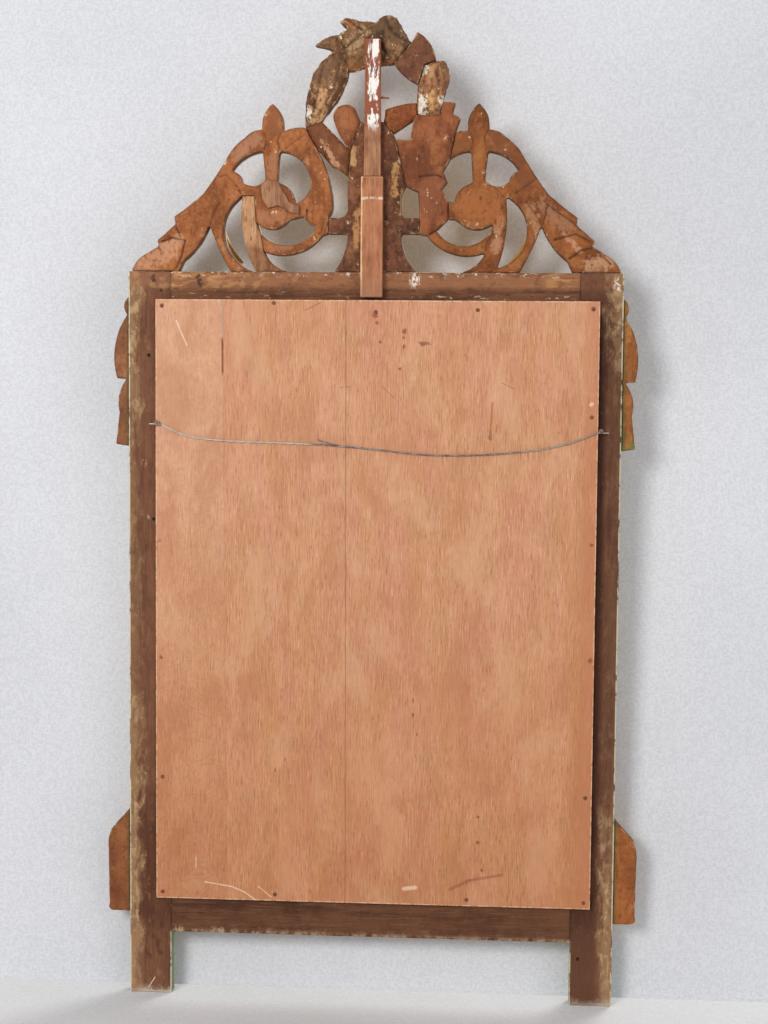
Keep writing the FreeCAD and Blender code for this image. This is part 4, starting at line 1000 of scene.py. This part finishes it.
GILT = gilt_wood("gilded moulding", 3)
for side in ("left", "right", "top", "bottom"):
    dressed(f"sight_moulding_{side}", GILT)
    dressed(f"outer_moulding_{side}", GILT)
for side in ("left", "right"):
    hewn(f"rosette_{side}", GILT, 0.8, 2, 0.3)
dressed("mirror_glass", old_plate("old silvered plate"))
dressed("glazing_blocks", REPAIR)
dressed("crest_dowels", REPAIR)
dressed("back_panel", plywood("panel plywood"))


# Nails, pearls and other things that repeat


def step(tree, kind, links=None, **settings):
    """A node in a tree of geometry nodes; links go from sockets or values to its inputs."""
    node = tree.nodes.new(kind)
    for key, value in settings.items():
        setattr(node, key, value)
    for key, value in (links or {}).items():
        if isinstance(value, bpy.types.NodeSocket):
            tree.links.new(value, node.inputs[key])
        else:
            node.inputs[key].default_value = value
    return node.outputs


def tree_of(name, sizes):
    """A tree of geometry nodes that takes and gives a mesh and has named sizes, and its input sockets."""
    tree = bpy.data.node_groups.new(name, "GeometryNodeTree")
    for way in ("INPUT", "OUTPUT"):
        tree.interface.new_socket("Geometry", in_out=way, socket_type="NodeSocketGeometry")
    for size in sizes:
        tree.interface.new_socket(size, in_out="INPUT", socket_type="NodeSocketFloat")
    return tree, step(tree, "NodeGroupInput")


def grown(name, mesh, tree, made, sizes, material):
    """The plain mesh that a tree of geometry nodes, closed here, makes from a mesh."""
    coat = step(tree, "GeometryNodeSetMaterial", {"Geometry": made, "Material": material})
    step(tree, "NodeGroupOutput", {0: coat[0]})
    piece = placed(name, coated(mesh, material))
    modifier = piece.modifiers.new("grown", "NODES")
    modifier.node_group = tree
    for socket in tree.interface.items_tree:
        if socket.name in sizes:
            modifier[socket.identifier] = sizes[socket.name]
    piece.data = plain_mesh(piece)
    piece.data.shade_smooth()
    return piece


def dome_nails(name, places, material):
    """Round-headed nails driven into the panel, each a little askew."""
    sizes = {"Head radius": 2.0 * MM, "Head rise": 0.85 * MM}
    mesh = bpy.data.meshes.new(name)
    mesh.from_pydata([(x * MM, PANEL_BACK * MM, z * MM) for x, z in places], [], [])
    tree, entry = tree_of("dome nails", sizes)
    ball = {"Segments": 14, "Rings": 8, "Radius": entry["Head radius"]}
    cap = step(tree, "GeometryNodeMeshUVSphere", ball)
    shares = {0: entry["Head rise"], 1: entry["Head radius"]}
    squash = step(tree, "ShaderNodeMath", shares, operation="DIVIDE")
    flatten = step(tree, "ShaderNodeCombineXYZ", {"X": 1.0, "Y": squash[0], "Z": 1.0})
    head = step(tree, "GeometryNodeTransform", {"Geometry": cap["Mesh"], "Scale": flatten[0]})
    tilts = {0: (-0.05, -0.4, -0.05), 1: (0.05, 0.4, 0.05), "Seed": 4}
    askew = step(tree, "FunctionNodeRandomValue", tilts, data_type="FLOAT_VECTOR")
    heads = {"Points": entry[0], "Instance": head[0], "Rotation": askew[0]}
    set_out = step(tree, "GeometryNodeInstanceOnPoints", heads)
    real = step(tree, "GeometryNodeRealizeInstances", {0: set_out[0]})
    return grown(name, mesh, tree, real[0], sizes, material)


def pearl_row(name, wide, high, centre, depth, material):
    """A row of carved pearls on the sight edge."""
    sizes = {"Pearl radius": 2.6 * MM, "Pitch": 6.2 * MM}
    mesh = bpy.data.meshes.new(name)
    tree, entry = tree_of("pearl row", sizes)
    ring = step(tree, "GeometryNodeCurvePrimitiveQuadrilateral", {"Width": wide * MM, "Height": high * MM})
    pitches = {"Curve": ring[0], "Length": entry["Pitch"]}
    stations = step(tree, "GeometryNodeResampleCurve", pitches, mode="LENGTH")
    ball = {"Radius": entry["Pearl radius"], "Subdivisions": 2}
    pearl = step(tree, "GeometryNodeMeshIcoSphere", ball)
    pearls = {"Points": stations[0], "Instance": pearl["Mesh"]}
    set_out = step(tree, "GeometryNodeInstanceOnPoints", pearls)
    real = step(tree, "GeometryNodeRealizeInstances", {0: set_out[0]})
    upright = {
        "Geometry": real[0],
        "Rotation": (math.radians(90), 0.0, 0.0),
        "Translation": (0.0, depth * MM, centre * MM),
    }
    place = step(tree, "GeometryNodeTransform", upright)
    return grown(name, mesh, tree, place[0], sizes, material)


STEEL = nail_steel("nail steel", (112, 100, 90))
RUSTY_STEEL = nail_steel("panel nail steel", (134, 92, 70))
nails = dome_nails("panel_nail_heads", NAILS, RUSTY_STEEL)
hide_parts("panel_nails")
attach(nails, "mirror")
for side in ("left", "right"):
    dressed(f"wire_nail_{side}", STEEL)
pearls = pearl_row("sight_edge_pearls", wide=500, high=716, centre=PLATE_CENTRE, depth=-20.5, material=GILT)
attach(pearls, "mirror")


# Hanging wire

WIRE_Y = 17.8
WIRE_RIGHT = (262.0, 724.55)
WIRE_LEFT = (-273.8, 718.85)
WIRE_ROUTE = (
    (0.0, 0.0), (0.0355, 11.95), (0.1064, 18.34), (0.1997, 20.01), (0.3023, 20.43), (0.405, 22.04),
    (0.5039, 26.28), (0.601, 31.52), (0.6943, 31.39), (0.7876, 28.06), (0.8735, 22.17), (0.9388, 13.8),
    (0.978, 5.78), (1.0, 0.0),
)
TAIL_ROUTE = ((68, 20.4, 707.2), (60, 20.3, 705.4), (52, 20, 702.8), (42, 19.4, 700.4))
WIRE_TURNS = 36
STRAND_OFFSET = 0.62 * MM
STRAND_RADIUS = 0.56 * MM
TAIL_RADIUS = 0.7 * MM
WRAP_RADIUS = 0.74 * MM
ZINC = wire_zinc("wire zinc")


def smooth_line(points, steps):
    """Points along the smooth line that a route's points pull on, in metres."""
    curve = bpy.data.curves.new("route", "CURVE")
    curve.dimensions = "3D"
    spline = curve.splines.new("NURBS")
    spline.points.add(len(points) - 1)
    for knot, point in zip(spline.points, points):
        knot.co = (*point, 1.0)
    spline.order_u = 3
    spline.use_endpoint_u = True
    spline.resolution_u = steps
    route = placed("route", curve)
    graph = bpy.context.evaluated_depsgraph_get()
    mesh = bpy.data.meshes.new_from_object(route.evaluated_get(graph))
    line = [vertex.co.copy() for vertex in mesh.vertices]
    bpy.data.objects.remove(route)
    bpy.data.curves.remove(curve)
    bpy.data.meshes.remove(mesh)
    return line


def headings(line):
    """The direction of a line at each of its points, with two square to it."""
    found = []
    for index in range(len(line)):
        ahead = line[min(index + 1, len(line) - 1)] - line[max(index - 1, 0)]
        ahead.normalize()
        side = ahead.cross(Vector((0, 1, 0))).normalized()
        found.append((ahead, side, side.cross(ahead)))
    return found


def around(side, up, angle, radius):
    """A step of the given radius away from a line, turned about it by an angle."""
    return side * (math.cos(angle) * radius) + up * (math.sin(angle) * radius)


def strand(work, line, radii, sides):
    """A closed tube along a line, added to a mesh in work."""
    rings = []
    for point, (_, side, up), radius in zip(line, headings(line), radii):
        turn = [math.tau * index / sides for index in range(sides)]
        rings.append([work.verts.new(point + around(side, up, angle, radius)) for angle in turn])
    for first, second in zip(rings, rings[1:]):
        for index in range(sides):
            after = (index + 1) % sides
            work.faces.new((first[index], first[after], second[after], second[index]))
    work.faces.new(rings[0][::-1])
    work.faces.new(rings[-1])


def tube_piece(name, lines, material, sides):
    """A piece made of closed tubes; lines holds each tube's points and radii."""
    work = bmesh.new()
    for line, radii in lines:
        strand(work, line, radii, sides)
    bmesh.ops.recalc_face_normals(work, faces=work.faces)
    mesh = bpy.data.meshes.new(name)
    work.to_mesh(mesh)
    work.free()
    mesh.shade_smooth()
    piece = placed(name, coated(mesh, material))
    return piece


def hanging_wire():
    """The slack twisted wire and its loose end."""
    span = Vector((WIRE_LEFT[0] - WIRE_RIGHT[0], 0, WIRE_LEFT[1] - WIRE_RIGHT[1]))
    start = Vector((WIRE_RIGHT[0], WIRE_Y, WIRE_RIGHT[1]))
    route = [(start + span * share - Vector((0, 0, drop))) * MM for share, drop in WIRE_ROUTE]
    line = smooth_line(route, 34)
    strands = []
    for half in (0.0, math.pi):
        wound = []
        for index, (point, (_, side, up)) in enumerate(zip(line, headings(line))):
            share = index / (len(line) - 1)
            angle = half + math.tau * WIRE_TURNS * share ** 1.5
            wound.append(point + around(side, up, angle, STRAND_OFFSET))
        strands.append((wound, [STRAND_RADIUS] * len(wound)))
    wire = tube_piece("hanging_wire_strands", strands, ZINC, 6)
    tail_line = smooth_line([Vector(point) * MM for point in TAIL_ROUTE], 8)
    tail = tube_piece("hanging_wire_end", [(tail_line, [TAIL_RADIUS] * len(tail_line))], ZINC, 6)
    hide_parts("hanging_wire")
    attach(wire, "wire")
    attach(tail, "wire")


def wire_wrap(side, nail_x, nail_z, outward):
    """The turns of wire round a nail, from the free stretch to the cut end."""
    radius, pitch, turns, each = 2.15, 2.3, 2, 14
    route = [(-5.0, 0.0, -radius), (-2.6, 0.0, -radius)]
    for index in range(turns * each + 1):
        angle = math.tau * index / each
        route.append((radius * math.sin(angle), pitch * index / each, -radius * math.cos(angle)))
    end = pitch * turns
    route += [(3.2, end, -radius), (6.2, end, -radius + 0.3), (9.0, end, -radius + 0.2)]
    points = [Vector((nail_x + outward * x, WIRE_Y + y, nail_z + z)) * MM for x, y, z in route]
    line = smooth_line(points, 4)
    wrap = tube_piece(f"wire_wrap_{side}_turns", [(line, [WRAP_RADIUS] * len(line))], ZINC, 10)
    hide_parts(f"wire_wrap_{side}")
    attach(wrap, "mirror")


def batten_peg():
    """A thin peg that sticks out of the side of the upper batten."""
    route = ((-3, 15, 1123.4), (-9, 15, 1123.2), (-17, 14.6, 1122.3))
    line = smooth_line([Vector(point) * MM for point in route], 8)
    radii = [(1.9 - 1.1 * index / (len(line) - 1)) * MM for index in range(len(line))]
    peg = tube_piece("batten_peg", [(line, radii)], UPPER, 8)
    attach(peg, "mirror")


hanging_wire()
batten_peg()
wire_wrap("right", 268.0, 726.7, 1)
wire_wrap("left", -279.8, 721.0, -1)


# Camera, floor, backdrop and light


def turn(axis, degrees):
    """A turn about one axis."""
    return Matrix.Rotation(math.radians(degrees), 3, axis)


SENSOR = 36
PICTURE_HEIGHT = 1024
FOCAL_PIXELS = 1785.556
PHOTO_PLACE = (-161.76, 2209.58, 788.99)


def photo_camera():
    """The camera where the photograph was taken, behind the mirror and a little to one side."""
    turned = turn("Z", -0.47) @ turn("X", 4.43) @ turn("Y", -3.83)
    across, upward, back = (Vector((-row[0], row[2], row[1])) for row in turned)
    lens = bpy.data.cameras.new("camera")
    lens.sensor_width = SENSOR
    lens.lens = FOCAL_PIXELS / PICTURE_HEIGHT * SENSOR
    camera = placed("camera", lens)
    matrix = Matrix((across, upward, back)).transposed().to_4x4()
    matrix.translation = Vector(PHOTO_PLACE) * MM
    camera.matrix_world = matrix
    bpy.context.scene.camera = camera


def sheet(name, profile, reach, material):
    """A sheet of paper whose profile in y and z runs on to reach each side."""
    corners = [(side * reach, y, z) for y, z in profile for side in (1, -1)]
    faces = [(2 * row, 2 * row + 1, 2 * row + 3, 2 * row + 2) for row in range(len(profile) - 1)]
    mesh = bpy.data.meshes.new(name)
    mesh.from_pydata(corners, [], faces)
    mesh.shade_smooth()
    made = placed(name, coated(mesh, material))
    return made


def paper(name, pale, one_sided):
    """Pale backdrop paper with a faint grain, seen from its front only where one_sided."""
    material, spot = started(name)
    drift = spot.field(400, 3.0, 0.5, 3)
    grain = spot.field(5, 4.0, 0.7, 5)
    weave = spot.field((2, 2, 5), 2.0, 0.6, 7) + spot.field((5, 2, 2), 2.0, 0.6, 9) - 1
    coat = Coat(pale)
    coat.glaze((246, 246, 246), ease(drift, 0.35, 0.7))
    coat.glaze((240, 240, 241), ease(weave, -0.2, 0.2))
    bump = spot.base.node("ShaderNodeBump", sockets={"Strength": 0.35, "Distance": 0.6 * MM, "Height": grain})
    shader = spot.base.node(
        "ShaderNodeBsdfPrincipled", sockets={"Base Color": coat.colour, "Roughness": 0.9, "Normal": bump}
    )
    if one_sided:
        clear = spot.base.node("ShaderNodeBsdfTransparent")
        behind = spot.base.node("ShaderNodeNewGeometry", out="Backfacing")
        shader = spot.base.node("ShaderNodeMixShader", sockets={0: behind, 1: shader, 2: clear})
    spot.base.node("ShaderNodeOutputMaterial", sockets={"Surface": shader}, out=None)
    return material


def soft_light(name, place, target, watts, size, colour):
    """A round soft light, size metres across, that looks at a target."""
    lamp = bpy.data.lights.new(name, "AREA")
    lamp.shape = "DISK"
    lamp.size = size
    lamp.energy = watts
    lamp.color = colour
    made = placed(name, lamp)
    made.location = place
    made.rotation_mode = "QUATERNION"
    made.rotation_quaternion = (Vector(target) - Vector(place)).to_track_quat("-Z", "Y")


def studio():
    """A pale floor and leaning wall paper, three soft lights and a pale sky."""
    scene = bpy.context.scene
    scene.view_settings.view_transform = "Standard"
    floor = paper("floor paper", (222, 222, 223), False)
    wall = paper("wall paper", (213, 214, 218), True)
    foot_line, radius, far, lean = -0.012, 0.015, 4.0, 0.055
    steepness, sunk = 45, 0.0003
    profile = []
    for degrees in range(steepness, 91, 9):
        angle = math.radians(degrees)
        rise = math.cos(math.radians(steepness)) - math.cos(angle)
        profile.append((foot_line - radius * math.sin(angle), radius * rise - sunk))
    profile.append((foot_line - radius - lean * far, far))
    back = sheet("backdrop", profile, far, wall)
    back.visible_shadow = False
    back.visible_diffuse = False
    back.visible_glossy = False
    sheet("floor", [(far, 0.0), (-far, 0.0)], far, floor)
    soft_light("key", (1.3, 2.9, 1.75), (0.0, 0.0, 0.65), 71, 1.2, (1.0, 0.99, 0.97))
    soft_light("fill", (-1.9, 2.2, 1.4), (0.0, 0.0, 0.6), 16, 2.0, (0.98, 0.99, 1.0))
    soft_light("front key", (-1.5, -2.3, 2.4), (0.0, 0.0, 0.6), 62, 1.6, (1.0, 0.98, 0.95))
    world = bpy.data.worlds.new("studio")
    scene.world = world
    world.use_nodes = True
    tree = world.node_tree
    tree.nodes.clear()
    base = Shade(tree)
    path = base.node("ShaderNodeLightPath", out="Is Camera Ray")
    seen = path.most(path.beside("Is Glossy Ray")).most(path.beside("Is Transmission Ray"))
    strength = 0.5 + seen * 0.4
    sky = base.node("ShaderNodeBackground", sockets={"Color": tone((240, 241, 244)), "Strength": strength})
    base.node("ShaderNodeOutputWorld", sockets={"Surface": sky}, out=None)


photo_camera()
studio()
